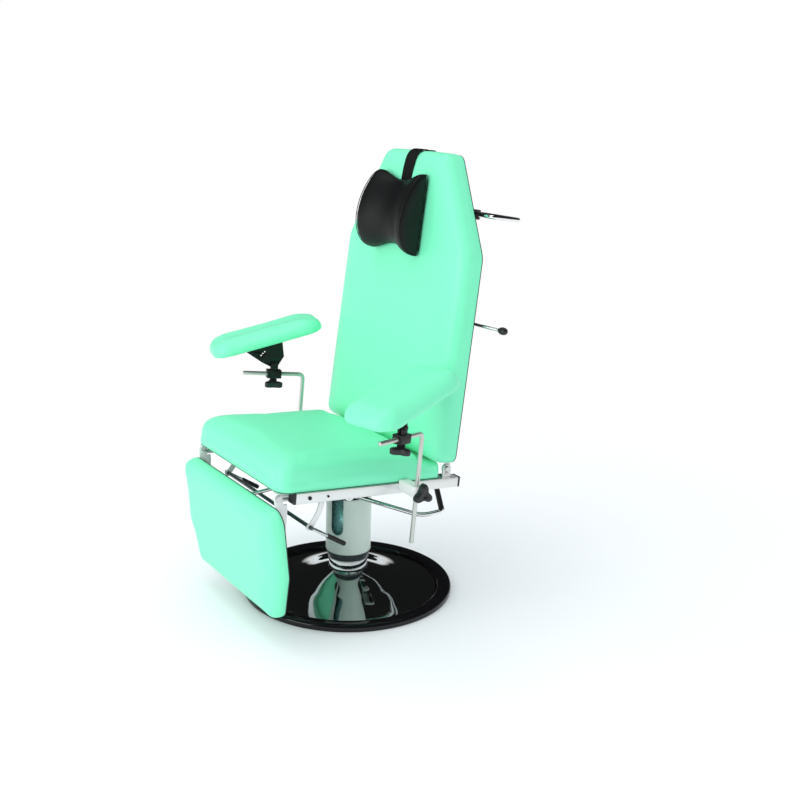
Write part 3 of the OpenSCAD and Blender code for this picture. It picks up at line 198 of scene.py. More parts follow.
# Base: a domed pressed-steel cover in gloss black enamel with a separate rounded rim band,
# over the flat floor plate that carries the pump.
class Finish:
    """A node material for one real finish. A number that is the same all over goes straight
    on the shader's socket; what varies comes from noise in object coordinates."""

    def __init__(self, name, color, rough, metal=0.0, **sockets):
        self.material = bpy.data.materials.new(name)
        self.material.use_nodes = True
        self.tree = self.material.node_tree
        self.shader = self.tree.nodes["Principled BSDF"]
        self.shader.inputs["Base Color"].default_value = (*color, 1)
        self.shader.inputs["Roughness"].default_value = rough
        self.shader.inputs["Metallic"].default_value = metal
        for key, value in sockets.items():
            self.shader.inputs[key.replace("_", " ")].default_value = value
        self.place = lay(self.tree, "TexCoord").outputs["Object"]

    def stretched(self, x, y, z):
        """Object coordinates scaled along the three axes, for a grain that runs one way."""
        return lay(self.tree, "Mapping", {"Vector": self.place, "Scale": (x, y, z)}).outputs[0]

    def noise(self, per_metre, detail=2.0, at=None):
        """Soft blotches between 0 and 1, so many to the metre."""
        node = lay(
            self.tree,
            "TexNoise",
            {"Vector": at or self.place, "Scale": per_metre, "Detail": detail},
        )
        return Term(self.tree, node.outputs["Fac"])

    def pebbles(self, per_metre, at=None):
        """Distance to the nearest of many scattered points: the cells of a leather grain."""
        node = lay(
            self.tree, "TexVoronoi", {"Vector": at or self.place, "Scale": per_metre}
        )
        return Term(self.tree, node.outputs["Distance"])

    def tones(self, low, high, field):
        """Base colour that runs from low to high with the field."""
        node = lay(self.tree, "Mix", {0: field, 6: (*low, 1), 7: (*high, 1)}, data_type="RGBA")
        self.tree.links.new(node.outputs[2], self.shader.inputs["Base Color"])
        return self

    def roughness(self, field):
        """Roughness that follows the field."""
        self.tree.links.new(field.socket, self.shader.inputs["Roughness"])
        return self

    def relief(self, field, depth):
        """Bump of that depth in metres."""
        node = lay(self.tree, "Bump", {"Height": field, "Distance": depth})
        self.tree.links.new(node.outputs[0], self.shader.inputs["Normal"])
        return self


own_pieces = []


def make(name, points, faces, finish, body, stands_for=()):
    """A smooth-shaded mesh from an array of points in metres and an array of faces."""
    mesh = bpy.data.meshes.new(name)
    mesh.from_pydata(np.asarray(points, float).reshape(-1, 3).tolist(), [], faces)
    mesh.polygons.foreach_set("use_smooth", [True] * len(mesh.polygons))
    mesh.materials.append(finish.material)
    mesh.validate()
    piece = bpy.data.objects.new(name, mesh)
    bpy.context.scene.collection.objects.link(piece)
    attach(piece, body)
    if stands_for:
        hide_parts(*stands_for)
    own_pieces.append(piece)
    return piece


def band_faces(rows, columns, closed=True):
    """Quads between neighbouring rows of a grid; closed joins the last column to the first."""
    last = columns if closed else columns - 1
    j, i = np.meshgrid(np.arange(rows - 1), np.arange(last), indexing="ij")
    n = (i + 1) % columns
    return np.stack(
        [j * columns + i, j * columns + n, (j + 1) * columns + n, (j + 1) * columns + i], -1
    ).reshape(-1, 4)


def round_off(points, radius, steps=5):
    """A polyline with each inner corner replaced by a curve that leaves it radius before the
    corner and joins it radius after: (1-t)^2 p + 2t(1-t) corner + t^2 q."""
    points = np.asarray(points, float)
    radii = np.broadcast_to(radius, len(points))
    made = [points[0]]
    for a, b, c, r in zip(points[:-2], points[1:-1], points[2:], radii[1:-1]):
        la, lc = np.linalg.norm(a - b), np.linalg.norm(c - b)
        r = min(r, la * 0.49, lc * 0.49)
        p, q = b + (a - b) * r / la, b + (c - b) * r / lc
        t = np.linspace(0, 1, steps + 1)[:, None]
        made.extend((1 - t) ** 2 * p + 2 * t * (1 - t) * b + t**2 * q)
    made.append(points[-1])
    return np.array(made)


def turned(profile, sides=128):
    """Points of a turned piece: the profile (radius, height) carried round the Z axis."""
    a = np.linspace(0, 2 * np.pi, sides, endpoint=False)
    r, z = np.asarray(profile, float).T
    return np.stack(
        [
            r[:, None] * np.cos(a)[None],
            r[:, None] * np.sin(a)[None],
            np.broadcast_to(z[:, None], (len(r), sides)),
        ],
        -1,
    )


def lathe(name, profile, finish, body, stands_for=(), sides=128, closed=True, put=None):
    """A turned piece in millimetres; the profile runs with the solid on its left, and closed
    joins its last row to its first. put moves the points into place."""
    grid = turned(profile, sides)
    rows = len(grid)
    faces = band_faces(rows + 1 if closed else rows, sides) % (rows * sides)
    points = grid * 0.001 if put is None else put(grid)
    return make(name, points, faces.tolist(), finish, body, stands_for)


def about(values, spread):
    """Two tones a little darker and a little lighter than a colour."""
    values = np.array(values)
    return tuple(values * (1 - spread)), tuple(np.minimum(values * (1 + spread), 1.0))


gloss_black = Finish("gloss_black_enamel", (0.006, 0.006, 0.007), 0.035, IOR=1.42)
gloss_black.relief(gloss_black.noise(26, 1.0), 0.00004)
gloss_black.roughness(gloss_black.noise(60, 3.0) * 0.03 + 0.02)
black_mirror = Finish("black_mirror_enamel", (0.42, 0.46, 0.45), 0.03, 1.0)
black_mirror.relief(black_mirror.noise(22, 1.0), 0.00003)
satin_black = Finish("satin_black_coat", (0.008, 0.009, 0.009), 0.42, Specular_IOR_Level=0.3)
satin_black.tones(*about((0.008, 0.009, 0.009), 0.3), satin_black.noise(90, 4.0))
satin_black.relief(satin_black.noise(1500, 2.0), 0.00006)

rim_profile = [[257, 9.4], [258.4, 12.6], [262, 16.4], [267, 18.8], [274, 19.8], [282, 20]]
rim_profile += [[290, 19.7], [295.6, 18.2], [298.8, 15.2], [300, 11.5], [300, 4], [299.4, 1.2]]
rim_profile += [[298, 0], [271, 0], [270.4, 4.9], [258, 5.2]]
lathe(
    "rim_band",
    round_off(rim_profile + rim_profile[:1], 1.6, 3)[:-1][::-1],
    gloss_black,
    "base",
    ["base_rim"],
    160,
)
dome_inner, dome_outer, dome_low, dome_rise, dome_sheet = 55.0, 257.0, 10.0, 57.0, 4.0
run_shares, rise_shares = [0, 0.12, 0.35, 0.65, 0.88, 1], [0, 0.05, 0.2, 0.5, 0.84, 1]
share = np.linspace(0, 1, 40)
dome_radius = dome_outer + (dome_inner - dome_outer) * share
dome_height = dome_low + dome_rise * np.interp(share, run_shares, rise_shares)
dome_height = np.convolve(
    np.pad(dome_height, 4, mode="reflect", reflect_type="odd"), np.ones(9) / 9, mode="valid"
)
dome_top = np.stack([dome_radius, dome_height], 1)
dome_under = np.stack([dome_radius, dome_height - dome_sheet], 1)[::-1]
lathe(
    "base_cover",
    np.concatenate([dome_top, dome_under])[::-1],
    black_mirror,
    "base",
    ["base_plate"],
    192,
)


def dress(node, finish, edge=0.0005):
    """A solid whose shape is right keeps its mesh: its loose triangles are welded, its edges
    broken by a small bevel, and it gets its finish."""
    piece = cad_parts[node]
    piece.data.materials.clear()
    piece.data.materials.append(finish.material)
    piece.data.polygons.foreach_set("use_smooth", [True] * len(piece.data.polygons))
    weld = piece.modifiers.new("weld", "WELD")
    weld.merge_threshold = 0.00001
    if edge:
        bevel = piece.modifiers.new("broken_edges", "BEVEL")
        bevel.width = edge
        bevel.segments = 2
        bevel.limit_method = "ANGLE"
        bevel.angle_limit = math.radians(32)
        bevel.harden_normals = True
        bevel.use_clamp_overlap = True
    return piece


dress("floor_plate", satin_black)


# Column: a chrome collar on the dome, a dark grey ring on the collar and the painted cover
# tube, whose long slot shows the zinc-plated pump cylinder; its blue-green colour is a painted
# reflection of the mint seat, bright enough to light up the shaded slot. The pump head closes it
# on top.
chrome = Finish("polished_chrome", (0.86, 0.87, 0.88), 0.06, 1.0)
chrome.roughness(chrome.noise(140, 3.0) * 0.06 + 0.04)
chrome.relief(chrome.noise(40, 2.0), 0.00002)
ring_grey = Finish("dark_grey_enamel", (0.045, 0.058, 0.063), 0.35)
ring_grey.tones(*about((0.045, 0.058, 0.063), 0.15), ring_grey.noise(70, 3.0))
ring_grey.relief(ring_grey.noise(900, 2.0), 0.00003)
cover_grey = Finish("grey_green_enamel", (0.65, 0.77, 0.70), 0.34, Coat_Weight=0.2)
cover_grey.tones(*about((0.65, 0.77, 0.70), 0.04), cover_grey.noise(30, 4.0))
cover_grey.relief(cover_grey.noise(500, 2.0), 0.00003)

collar = [[46, 67], [55, 67], [55, 94], [58, 94], [58, 97], [46, 97]]
lathe(
    "chrome_collar",
    round_off(collar + collar[:1], 1.2, 4)[:-1],
    chrome,
    "base",
    ["column_collar"],
)
ring = [[46, 97], [57.5, 97], [63.6, 119], [61.6, 119], [61.6, 129], [46, 129]]
lathe(
    "grey_ring",
    round_off(ring + ring[:1], 1.2, 4)[:-1],
    ring_grey,
    "base",
    ["collar_ring"],
)
cylinder = [[40, 5], [46, 5], [46, 284], [40, 284]]
# Blue-green base colour with little metal: a painted reflection of the mint seat on the zinc
# plating, and painted light in the shaded slot.
zinc_painted_reflection = Finish("zinc_with_painted_mint_reflection", (0.26, 0.60, 0.60), 0.28, 0.4)
zinc_painted_reflection.roughness(zinc_painted_reflection.noise(90, 3.0) * 0.10 + 0.22)
zinc_painted_reflection.relief(zinc_painted_reflection.noise(300, 2.0), 0.00002)
lathe("pump_tube", cylinder, zinc_painted_reflection, "base", ["pump_cylinder"])

cover_r, cover_low, cover_top = 64.5, 119, 284
slot_half, slot_end, slot_way = 20.0, 196.0, math.radians(-63)
levels = np.concatenate(
    [
        np.linspace(cover_low, slot_end - slot_half, 12),
        slot_end - slot_half * np.cos(np.linspace(0, np.pi / 2, 16))[1:],
        np.linspace(slot_end, cover_top, 14)[1:],
    ]
)
chord = np.where(
    levels < slot_end,
    np.sqrt(np.maximum(slot_half**2 - (slot_end - levels) ** 2, 0)),
    slot_half,
)
chord = np.where(levels < slot_end - slot_half, 0.0, chord)
gap = np.arcsin(chord / cover_r)[:, None]
across = np.linspace(0, 1, 120)[None]
angle = slot_way + gap + (2 * np.pi - 2 * gap) * across
tube_grid = np.stack(
    [
        cover_r * np.cos(angle),
        cover_r * np.sin(angle),
        np.broadcast_to(levels[:, None], angle.shape),
    ],
    -1,
)
column_tube = make(
    "column_tube",
    tube_grid * 0.001,
    band_faces(*angle.shape, closed=False).tolist(),
    cover_grey,
    "base",
    ["column_cover"],
)
seam = column_tube.modifiers.new("seam", "WELD")
seam.merge_threshold = 0.0002
wall = column_tube.modifiers.new("wall", "SOLIDIFY")
wall.thickness = 0.0025
wall.offset = -1.0
rolled = column_tube.modifiers.new("rolled_edges", "BEVEL")
rolled.width = 0.0006
rolled.segments = 2
rolled.limit_method = "ANGLE"
dress("pump_head", satin_black, 0.0008)


# Pump pedal: one bright rod bent round the column, hung on two pins of the pump head, with
# a black rubber sleeve on its foot bar.
bright_steel = Finish("bright_drawn_steel", (0.62, 0.64, 0.64), 0.24, 1.0)
bright_steel.roughness(
    bright_steel.noise(60, 4.0, bright_steel.stretched(1, 1, 0.08)) * 0.14 + 0.17
)
bright_steel.relief(bright_steel.noise(1800, 2.0), 0.00001)
rubber = Finish("black_rubber", (0.012, 0.012, 0.013), 0.62)
rubber.tones(*about((0.012, 0.012, 0.013), 0.4), rubber.noise(200, 4.0))
rubber.relief(rubber.noise(2400, 3.0), 0.00008)


def along(path, outline):
    """A closed outline (across, up) carried along a path. At each point the frame is the
    tangent, the direction across it that turns least from the last one, and their product."""
    path = np.asarray(path, float)
    ahead = np.gradient(path, axis=0)
    ahead /= np.linalg.norm(ahead, axis=1)[:, None]
    first = np.cross(ahead[0], [0.0, 0.0, 1.0])
    if np.linalg.norm(first) < 0.2:
        first = np.cross(ahead[0], [0.0, 1.0, 0.0])
    side = [first / np.linalg.norm(first)]
    for tangent in ahead[1:]:
        kept = side[-1] - tangent * np.dot(side[-1], tangent)
        side.append(kept / np.linalg.norm(kept))
    side = np.array(side)
    up = np.cross(side, ahead)
    outline = np.asarray(outline, float)
    return (
        path[:, None]
        + side[:, None] * outline[None, :, :1]
        + up[:, None] * outline[None, :, 1:]
    )


def rod(name, path, radius, finish, body, stands_for=(), put=None, sides=24, end=1.2):
    """A round bar along a path in millimetres, with broken edges at both ends: the end rows
    shrink to the radius less the broken edge, and then to the middle."""
    path = np.asarray(path, float)
    a = np.linspace(0, 2 * np.pi, sides, endpoint=False)
    ring_xy = np.stack([np.cos(a), np.sin(a)], -1) * radius
    start, stop = path[0], path[-1]
    ahead = (path[1] - start) / np.linalg.norm(path[1] - start)
    last = (stop - path[-2]) / np.linalg.norm(stop - path[-2])
    path = np.concatenate([[start, start + ahead * end], path[1:-1], [stop - last * end, stop]])
    grid = along(path, ring_xy)
    grid[0] = path[0] + (grid[0] - path[0]) * (radius - end) / radius
    grid[-1] = path[-1] + (grid[-1] - path[-1]) * (radius - end) / radius
    rows = len(grid)
    points = np.concatenate([grid.reshape(-1, 3), [start], [stop]])
    points = points * 0.001 if put is None else put(points)
    k = np.arange(sides)
    n = (k + 1) % sides
    faces = band_faces(rows, sides)[:, ::-1].tolist()
    faces += np.stack([np.full(sides, rows * sides), k, n], -1).tolist()
    base = (rows - 1) * sides
    faces += np.stack([np.full(sides, rows * sides + 1), base + n, base + k], -1).tolist()
    return make(name, points, faces, finish, body, stands_for)


pedal_way, pin_height = math.radians(59), 301.0


def at_pedal(points):
    """Pedal places: ahead of the column, to its side, and up from the pins, in millimetres."""
    h, s, z = np.moveaxis(np.asarray(points, float), -1, 0)
    c, w = math.cos(pedal_way), math.sin(pedal_way)
    return np.stack([h * c - s * w, h * w + s * c, z + pin_height], -1) * 0.001


foot_bar = np.array([257, 0, -31])
half_loop = [[11.9, 69.3, 0], [200.5, 108, -43], [foot_bar[0], 100, foot_bar[2]]]
loop = half_loop + [[h, -s, z] for h, s, z in half_loop[::-1]]
rod(
    "pedal_rod",
    round_off(loop, [0, 30, 14, 14, 30, 0], 6),
    6,
    chrome,
    "pedal",
    ["pedal_bar"],
    at_pedal,
)


def cross_axis(points, put):
    """Turned points with their Z axis laid along Y, then put into place."""
    x, y, z = np.moveaxis(np.asarray(points, float), -1, 0)
    return put(np.stack([x, z, -y], -1))


for way in (-1, 1):
    eye = [[6.1, 64.8], [14, 64.8], [14, 73.8], [6.1, 73.8]]
    rounded = round_off(eye + eye[:1], 0.8, 3)[:-1] * [1, way]
    lathe(
        f"pedal_eye_{'left' if way > 0 else 'right'}",
        rounded if way > 0 else rounded[::-1],
        chrome,
        "pedal",
        sides=48,
        put=lambda p: cross_axis(p, at_pedal),
    )
sleeve_half, sleeve_bore, sleeve_r = 88, 6.0, 8.0
sleeve_line = np.linspace(-sleeve_half, sleeve_half, 60)
sleeve_out = sleeve_r - 1.4 * np.exp(-((sleeve_half - np.abs(sleeve_line)) / 1.6) ** 2)
sleeve_profile = np.concatenate(
    [
        np.stack([sleeve_out, sleeve_line], 1),
        [[sleeve_bore, sleeve_half], [sleeve_bore, -sleeve_half]],
    ]
)
lathe(
    "pedal_sleeve_rubber",
    sleeve_profile,
    rubber,
    "pedal",
    ["pedal_sleeve"],
    36,
    put=lambda p: cross_axis(p, lambda q: at_pedal(q + foot_bar)),
)
dress("pedal_pins", bright_steel, 0.0004)
dress("lift_ram", chrome, 0.0005)


# Seat frame: two square aluminium rails on cross tubes and a mount plate, tilted a little to
# the rear, with black end plugs and screws, hinge lugs in front and hinge brackets behind.
rail_alu = Finish("satin_aluminium", (0.80, 0.82, 0.81), 0.34, 0.75)
rail_alu.roughness(rail_alu.noise(80, 4.0, rail_alu.stretched(1, 0.04, 1)) * 0.12 + 0.28)
rail_alu.relief(rail_alu.noise(1400, 2.0, rail_alu.stretched(1, 0.05, 1)), 0.00001)
white_metal = Finish("white_powder_coat", (0.78, 0.80, 0.79), 0.38)
white_metal.tones(*about((0.78, 0.80, 0.79), 0.04), white_metal.noise(60, 3.0))
white_metal.relief(white_metal.noise(1700, 2.0), 0.00004)
black_plastic = Finish("black_moulding", (0.014, 0.016, 0.017), 0.38)
black_plastic.tones(*about((0.014, 0.016, 0.017), 0.3), black_plastic.noise(150, 4.0))
black_plastic.relief(black_plastic.pebbles(1300), 0.00006)
white_plastic = Finish("white_nylon", (0.72, 0.74, 0.73), 0.45)
white_plastic.relief(white_plastic.noise(900, 2.0), 0.00003)

for node in ("swivel_hub", "mount_plate"):
    dress(node, satin_black, 0.0008)
dress("cross_tubes", rail_alu, 0.0006)
dress("side_rails", rail_alu, 0.0012)
dress("rail_plugs", black_plastic, 0.0008)
dress("rail_bolts", satin_black, 0.0006)
dress("footrest_lugs", white_metal, 0.0006)
dress("hinge_pins", bright_steel, 0.0006)
dress("back_brackets", bright_steel, 0.0006)
dress("lever_hangers", white_metal, 0.0006)
dress("rod_clamps", white_metal, 0.0025)


# Seat cushion: foam block in mint artificial leather over a board. The flat panel lies inside
# a sloping margin, the front corners are round, and a low tongue runs under the back.
frame_tilt, rail_top = math.radians(4.6), 392.0


def on_frame(points):
    """Seat-frame places, millimetres from the rails' top over the column, tilted rearwards:
    Y' = Y cos t + Z sin t, Z' = rail_top - Y sin t + Z cos t, in metres."""
    x, y, z = np.moveaxis(np.asarray(points, float), -1, 0)
    c, s = math.cos(frame_tilt), math.sin(frame_tilt)
    return np.stack([x, y * c + z * s, rail_top - y * s + z * c], -1) * 0.001


def ring_of(corners, radii, inset, steps=8):
    """Points of an outline that runs anticlockwise, moved in by inset, with arc corners: each
    centre lies (inset + r) along the corner's mitre, (n1 + n2) / (1 + n1.n2)."""
    corners = np.asarray(corners, float)
    edge = np.roll(corners, -1, 0) - corners
    out = np.stack([edge[:, 1], -edge[:, 0]], 1) / np.linalg.norm(edge, axis=1)[:, None]
    before = np.roll(out, 1, 0)
    mitre = (before + out) / (1 + (before * out).sum(1))[:, None]
    r = np.maximum(np.asarray(radii) - 0.6 * inset, 0.25 * np.asarray(radii))
    centre = corners - (inset + r)[:, None] * mitre
    start = np.arctan2(before[:, 1], before[:, 0])
    turn = (np.arctan2(out[:, 1], out[:, 0]) - start) % (2 * np.pi)
    a = start[:, None] + turn[:, None] * np.linspace(0, 1, steps + 1)[None]
    arc = np.stack([np.cos(a), np.sin(a)], -1) * r[:, None, None]
    return (centre[:, None] + arc).reshape(-1, 2)


def even(ring, count):
    """The same closed outline with its points spaced evenly along it."""
    loop_points = np.concatenate([ring, ring[:1]])
    run = np.concatenate([[0], np.cumsum(np.linalg.norm(np.diff(loop_points, axis=0), axis=1))])
    at = np.linspace(0, run[-1], count, endpoint=False)
    return np.stack([np.interp(at, run, loop_points[:, i]) for i in (0, 1)], 1)


# Inset as a share of the margin and height as a share of the thickness, up a cushion's side.
panel_side = np.array(
    [[0.05, 0.0], [0.0, 0.05], [0.03, 0.25], [0.0, 0.48], [0.05, 0.66], [0.17, 0.79],
     [0.38, 0.88], [0.66, 0.925], [0.92, 0.955], [1.06, 0.965], [1.5, 0.985]]
)


def cushion_points(corners, radii, thick, margin, lift, steps=8, inner=7, side=panel_side):
    """Rings up a cushion's side, then rings that shrink to a spine under a low crown: the
    height rises to the full thickness with the square of the way in."""
    rings = []
    for inset_share, height_share in side:
        ring = ring_of(corners, radii, inset_share * margin, steps)
        rings.append(np.column_stack([ring, np.full(len(ring), height_share * thick)]))
    rim = rings[-1]
    middle = rim[:, :2].mean(0)
    for t in np.linspace(0, 1, inner + 1)[1:]:
        shrunk = middle + (rim[:, :2] - middle) * (1 - 0.97 * t)
        height = (side[-1, 1] + (1 - side[-1, 1]) * (1 - (1 - t) ** 2)) * thick
        rings.append(np.column_stack([shrunk, np.full(len(rim), height)]))
    points = np.array(rings)
    points[..., 2] += lift
    return points


def close_shell(grid):
    """Faces of a shell of rings, with a fan on the first ring and one on the last."""
    rows, columns = grid.shape[:2]
    faces = band_faces(rows, columns).tolist()
    k = np.arange(columns)
    n = (k + 1) % columns
    bottom, top = rows * columns, rows * columns + 1
    faces += np.stack([np.full(columns, bottom), n, k], -1).tolist()
    base = (rows - 1) * columns
    faces += np.stack([np.full(columns, top), base + k, base + n], -1).tolist()
    points = np.concatenate(
        [grid.reshape(-1, 3), [grid[0].mean(0)], [grid[-1].mean(0)]]
    )
    return points, faces


def facing(on_part):
    """Unit direction in which the last coordinate of a part's places grows."""
    front = on_part([0, 0, 1]) - on_part([0, 0, 0])
    return front / np.linalg.norm(front)


def close_to(on_part, level, reach_mm):
    """A test for points less than reach_mm in front of the part's plane at that level."""
    place, front = on_part([0, 0, level]), facing(on_part)
    return lambda p: (p - place) @ front < reach_mm * 0.001


def stuffed(piece, voxel, cap, held, pressure=4.0, firmness=30.0, frames=20):
    """Padded fabric: the shell is remeshed evenly, its points where held(point) is true stay,
    and the rest is blown up as cloth for some frames. No point moves further than cap."""
    scene = bpy.context.scene
    remesh = piece.modifiers.new("even", "REMESH")
    remesh.mode = "VOXEL"
    remesh.voxel_size = voxel
    remesh.use_smooth_shade = True
    bpy.context.view_layer.update()
    graph = bpy.context.evaluated_depsgraph_get()
    fabric = bpy.data.meshes.new_from_object(piece.evaluated_get(graph))
    piece.modifiers.clear()
    finish = piece.data.materials[0]
    piece.data = fabric
    fabric.materials.clear()
    fabric.materials.append(finish)
    start = np.zeros(len(fabric.vertices) * 3)
    fabric.vertices.foreach_get("co", start)
    start = start.reshape(-1, 3)
    group = piece.vertex_groups.new(name="held")
    group.add(np.nonzero(held(start))[0].tolist(), 1.0, "REPLACE")
    cloth = piece.modifiers.new("cloth", "CLOTH")
    cloth.settings.vertex_group_mass = "held"
    cloth.settings.quality = 5
    cloth.settings.mass = 0.3
    cloth.settings.tension_stiffness = firmness
    cloth.settings.compression_stiffness = firmness
    cloth.settings.shear_stiffness = firmness
    cloth.settings.bending_stiffness = 2.0
    cloth.settings.use_pressure = True
    cloth.settings.uniform_pressure_force = pressure
    cloth.settings.effector_weights.gravity = 0.0
    cloth.collision_settings.use_collision = False
    cloth.point_cache.frame_start = 1
    cloth.point_cache.frame_end = frames
    for step in range(1, frames + 1):
        scene.frame_set(step)
    graph = bpy.context.evaluated_depsgraph_get()
    swollen = piece.evaluated_get(graph).to_mesh()
    moved = np.zeros(len(start) * 3)
    swollen.vertices.foreach_get("co", moved)
    piece.evaluated_get(graph).to_mesh_clear()
    shift = moved.reshape(-1, 3) - start
    length = np.linalg.norm(shift, axis=1)[:, None]
    shift *= np.minimum(1, cap / np.maximum(length, 1e-9))
    piece.modifiers.clear()
    scene.frame_set(1)
    fabric.vertices.foreach_set("co", (start + shift).ravel())
    fabric.polygons.foreach_set("use_smooth", [True] * len(fabric.polygons))
    fabric.update()
    relax = piece.modifiers.new("relaxed", "CORRECTIVE_SMOOTH")
    relax.factor = 0.6
    relax.iterations = 6
    relax.use_only_smooth = True
    fine = piece.modifiers.new("fine", "SUBSURF")
    fine.levels = fine.render_levels = 1
    return piece


mint_tone, board_tone = (0.20, 0.90, 0.54), (0.012, 0.013, 0.013)
mint = Finish("mint_artificial_leather", mint_tone, 0.46, Sheen_Weight=0.06)
mint.tones((0.195, 0.89, 0.53), (0.21, 0.91, 0.555), mint.noise(9, 3.0))
mint.relief(mint.pebbles(820) * 0.6 + mint.noise(1600, 2.0) * 0.5, 0.00010)
mint.roughness(mint.noise(35, 4.0) * 0.10 + 0.40)
board_black = Finish("black_board", board_tone, 0.5)
board_black.tones(*about(board_tone, 0.35), board_black.noise(60, 4.0))
board_black.relief(
    board_black.noise(500, 3.0, board_black.stretched(1, 0.08, 1)), 0.00006
)

seat_corners = [[-254, -357], [254, -357], [254, 69], [-254, 69]]
seat_grid = cushion_points(seat_corners, [40, 40, 24, 24], 86.1, 62, 1.2)
seat_points, seat_faces = close_shell(seat_grid)
tail_corners = [[-254, -62], [254, -62], [254, 134], [-254, 134]]
tail_side = np.array([[0.3, 0.0], [0.0, 0.12], [0.0, 0.70], [0.35, 0.93], [1.0, 1.0]])
tail_grid = cushion_points(tail_corners, [8, 8, 12, 12], 43, 5, 1.2, 3, 2, tail_side)
tail_points, tail_faces = close_shell(tail_grid)
tail_faces = [[i + len(seat_points) for i in face] for face in tail_faces]
seat = make(
    "seat_pad",
    on_frame(np.concatenate([seat_points, tail_points])),
    seat_faces + tail_faces,
    mint,
    "seat_frame",
    ["seat_cushion"],
)
stuffed(seat, 0.0055, 0.005, close_to(on_frame, 1.2, 9))


def wrapped(name, on_part, black_from):
    """Board that the cover is drawn round: its edge is mint but for a black line, which ends
    2.6 mm in front of its back face. Mint again is what lies behind black_from."""
    board = Finish(name, board_tone, 0.5)
    front = facing(on_part)
    forward = lay(
        board.tree, "VectorMath", {0: board.place, 1: tuple(front)}, operation="DOT_PRODUCT"
    )
    depth = Term(board.tree, forward.outputs["Value"]) - float(front @ on_part([0, 0, 0]))
    black = depth.between(black_from - 0.0003, black_from) - depth.between(0.0026, 0.003)
    return board.tones(mint_tone, board_tone, black)


dress("seat_board", wrapped("wrapped_seat_board", on_frame, 0.001), 0.0008)


# Backrest: a tall six-sided board with a foam cushion in mint artificial leather, flat in
# the middle, sloping to its edges; white straps carry it on the hinge pins.
back_lean, back_foot_y, back_foot_z = math.radians(2.6), 145.8, 47.6


def on_back(points):
    """Backrest places: across, up along the board, and forwards from its back face."""
    x, u, f = np.moveaxis(np.asarray(points, float), -1, 0)
    c, s = math.cos(back_lean), math.sin(back_lean)
    rear, up = back_foot_y + u * s - f * c, back_foot_z + u * c + f * s
    return on_frame(np.stack([x, rear, up], -1))


back_corners = [[-300, 0], [300, 0], [291, 555], [146, 810], [-146, 810], [-291, 555]]
back_radii = [26, 26, 60, 34, 34, 60]
back_grid = cushion_points(back_corners, back_radii, 71.3, 60, 2.0, 8, 9)
back_points, back_faces = close_shell(back_grid)
back = make(
    "back_pad", on_back(back_points), back_faces, mint, "backrest", ["back_cushion"]
)
stuffed(back, 0.0065, 0.002, close_to(on_back, 2.0, 9))
dress("back_board", wrapped("wrapped_back_board", on_back, -0.01), 0.0008)
dress("back_straps", white_metal, 0.0008)
dress("spring_head", bright_steel, 0.0006)


# Push bar: a loop of bright rod behind the shoulders, its two ends held on the board by
# black clamp blocks.
push_half = [[-160, 660, -20], [-280, 660, -20], [-280, 660, -114]]
push_path = push_half + [[-x, u, f] for x, u, f in push_half[::-1]]
rod(
    "push_rod",
    round_off(push_path, 24, 10),
    6,
    chrome,
    "backrest",
    ["push_bar"],
    on_back,
)
dress("push_bar_clips", black_plastic, 0.0012)


# Backrest release: a thin rod across the back, bent to the rear at its outer end, with an
# oval black knob.
sweep, bend_x, lever_u, lever_f = math.radians(11), 267, 378, -21
lever_path = [[15, lever_u, lever_f], [bend_x, lever_u, lever_f]]
lever_path += [[bend_x + 83 * math.cos(sweep), lever_u, lever_f - 83 * math.sin(sweep)]]
rod(
    "release_rod",
    round_off(lever_path, 12, 8),
    4,
    bright_steel,
    "recline_lever",
    ["back_lever"],
    on_back,
)
knob_line = np.linspace(0, 28, 29)
knob_radius = 10 * np.sqrt(np.clip(1 - (knob_line / 14 - 1) ** 2, 0, 1)) ** 0.85 + 0.01
knob_radius = np.where(knob_line < 3, np.maximum(knob_radius, 5.2), knob_radius)


def at_knob(points):
    """Turned points with their axis along the bent end of the lever."""
    x, y, z = np.moveaxis(np.asarray(points, float), -1, 0)
    c, s = math.cos(sweep), math.sin(sweep)
    out = z + 82
    return on_back(
        np.stack([bend_x + out * c + x * s, lever_u + y, lever_f - out * s + x * c], -1)
    )


lathe(
    "release_knob",
    np.stack([knob_radius, knob_line], 1),
    black_plastic,
    "recline_lever",
    ["back_lever_knob"],
    40,
    closed=False,
    put=at_knob,
)


# Headrest: a black webbing strap over the top of the backrest, and the saddle-shaped pillow
# that slides along it, in black artificial leather with piped end caps.
webbing = Finish("black_webbing", (0.004, 0.004, 0.0045), 0.8, Specular_IOR_Level=0.25)
rows_across = lay(
    webbing.tree,
    "TexWave",
    {"Vector": webbing.place, "Scale": 190.0, "Distortion": 0.6, "Detail": 1.0},
    bands_direction="Z",
)
ribs = lay(
    webbing.tree,
    "TexWave",
    {"Vector": webbing.place, "Scale": 150.0, "Distortion": 0.4},
    bands_direction="X",
)
weave = Term(webbing.tree, rows_across.outputs["Fac"]) * 0.6
weave = weave + Term(webbing.tree, ribs.outputs["Fac"]) * 0.6
webbing.relief(weave, 0.0004)
webbing.tones((0.003, 0.003, 0.0035), (0.006, 0.006, 0.0065), weave)
black_leather = Finish(
    "black_artificial_leather", (0.004, 0.0045, 0.005), 0.40, Specular_IOR_Level=0.3
)
black_leather.tones((0.0035, 0.004, 0.0045), (0.005, 0.0055, 0.006), black_leather.noise(12))
black_leather.relief(black_leather.pebbles(900) * 0.7 + black_leather.noise(1700) * 0.4, 0.00012)
black_leather.roughness(black_leather.noise(40, 4.0) * 0.10 + 0.44)

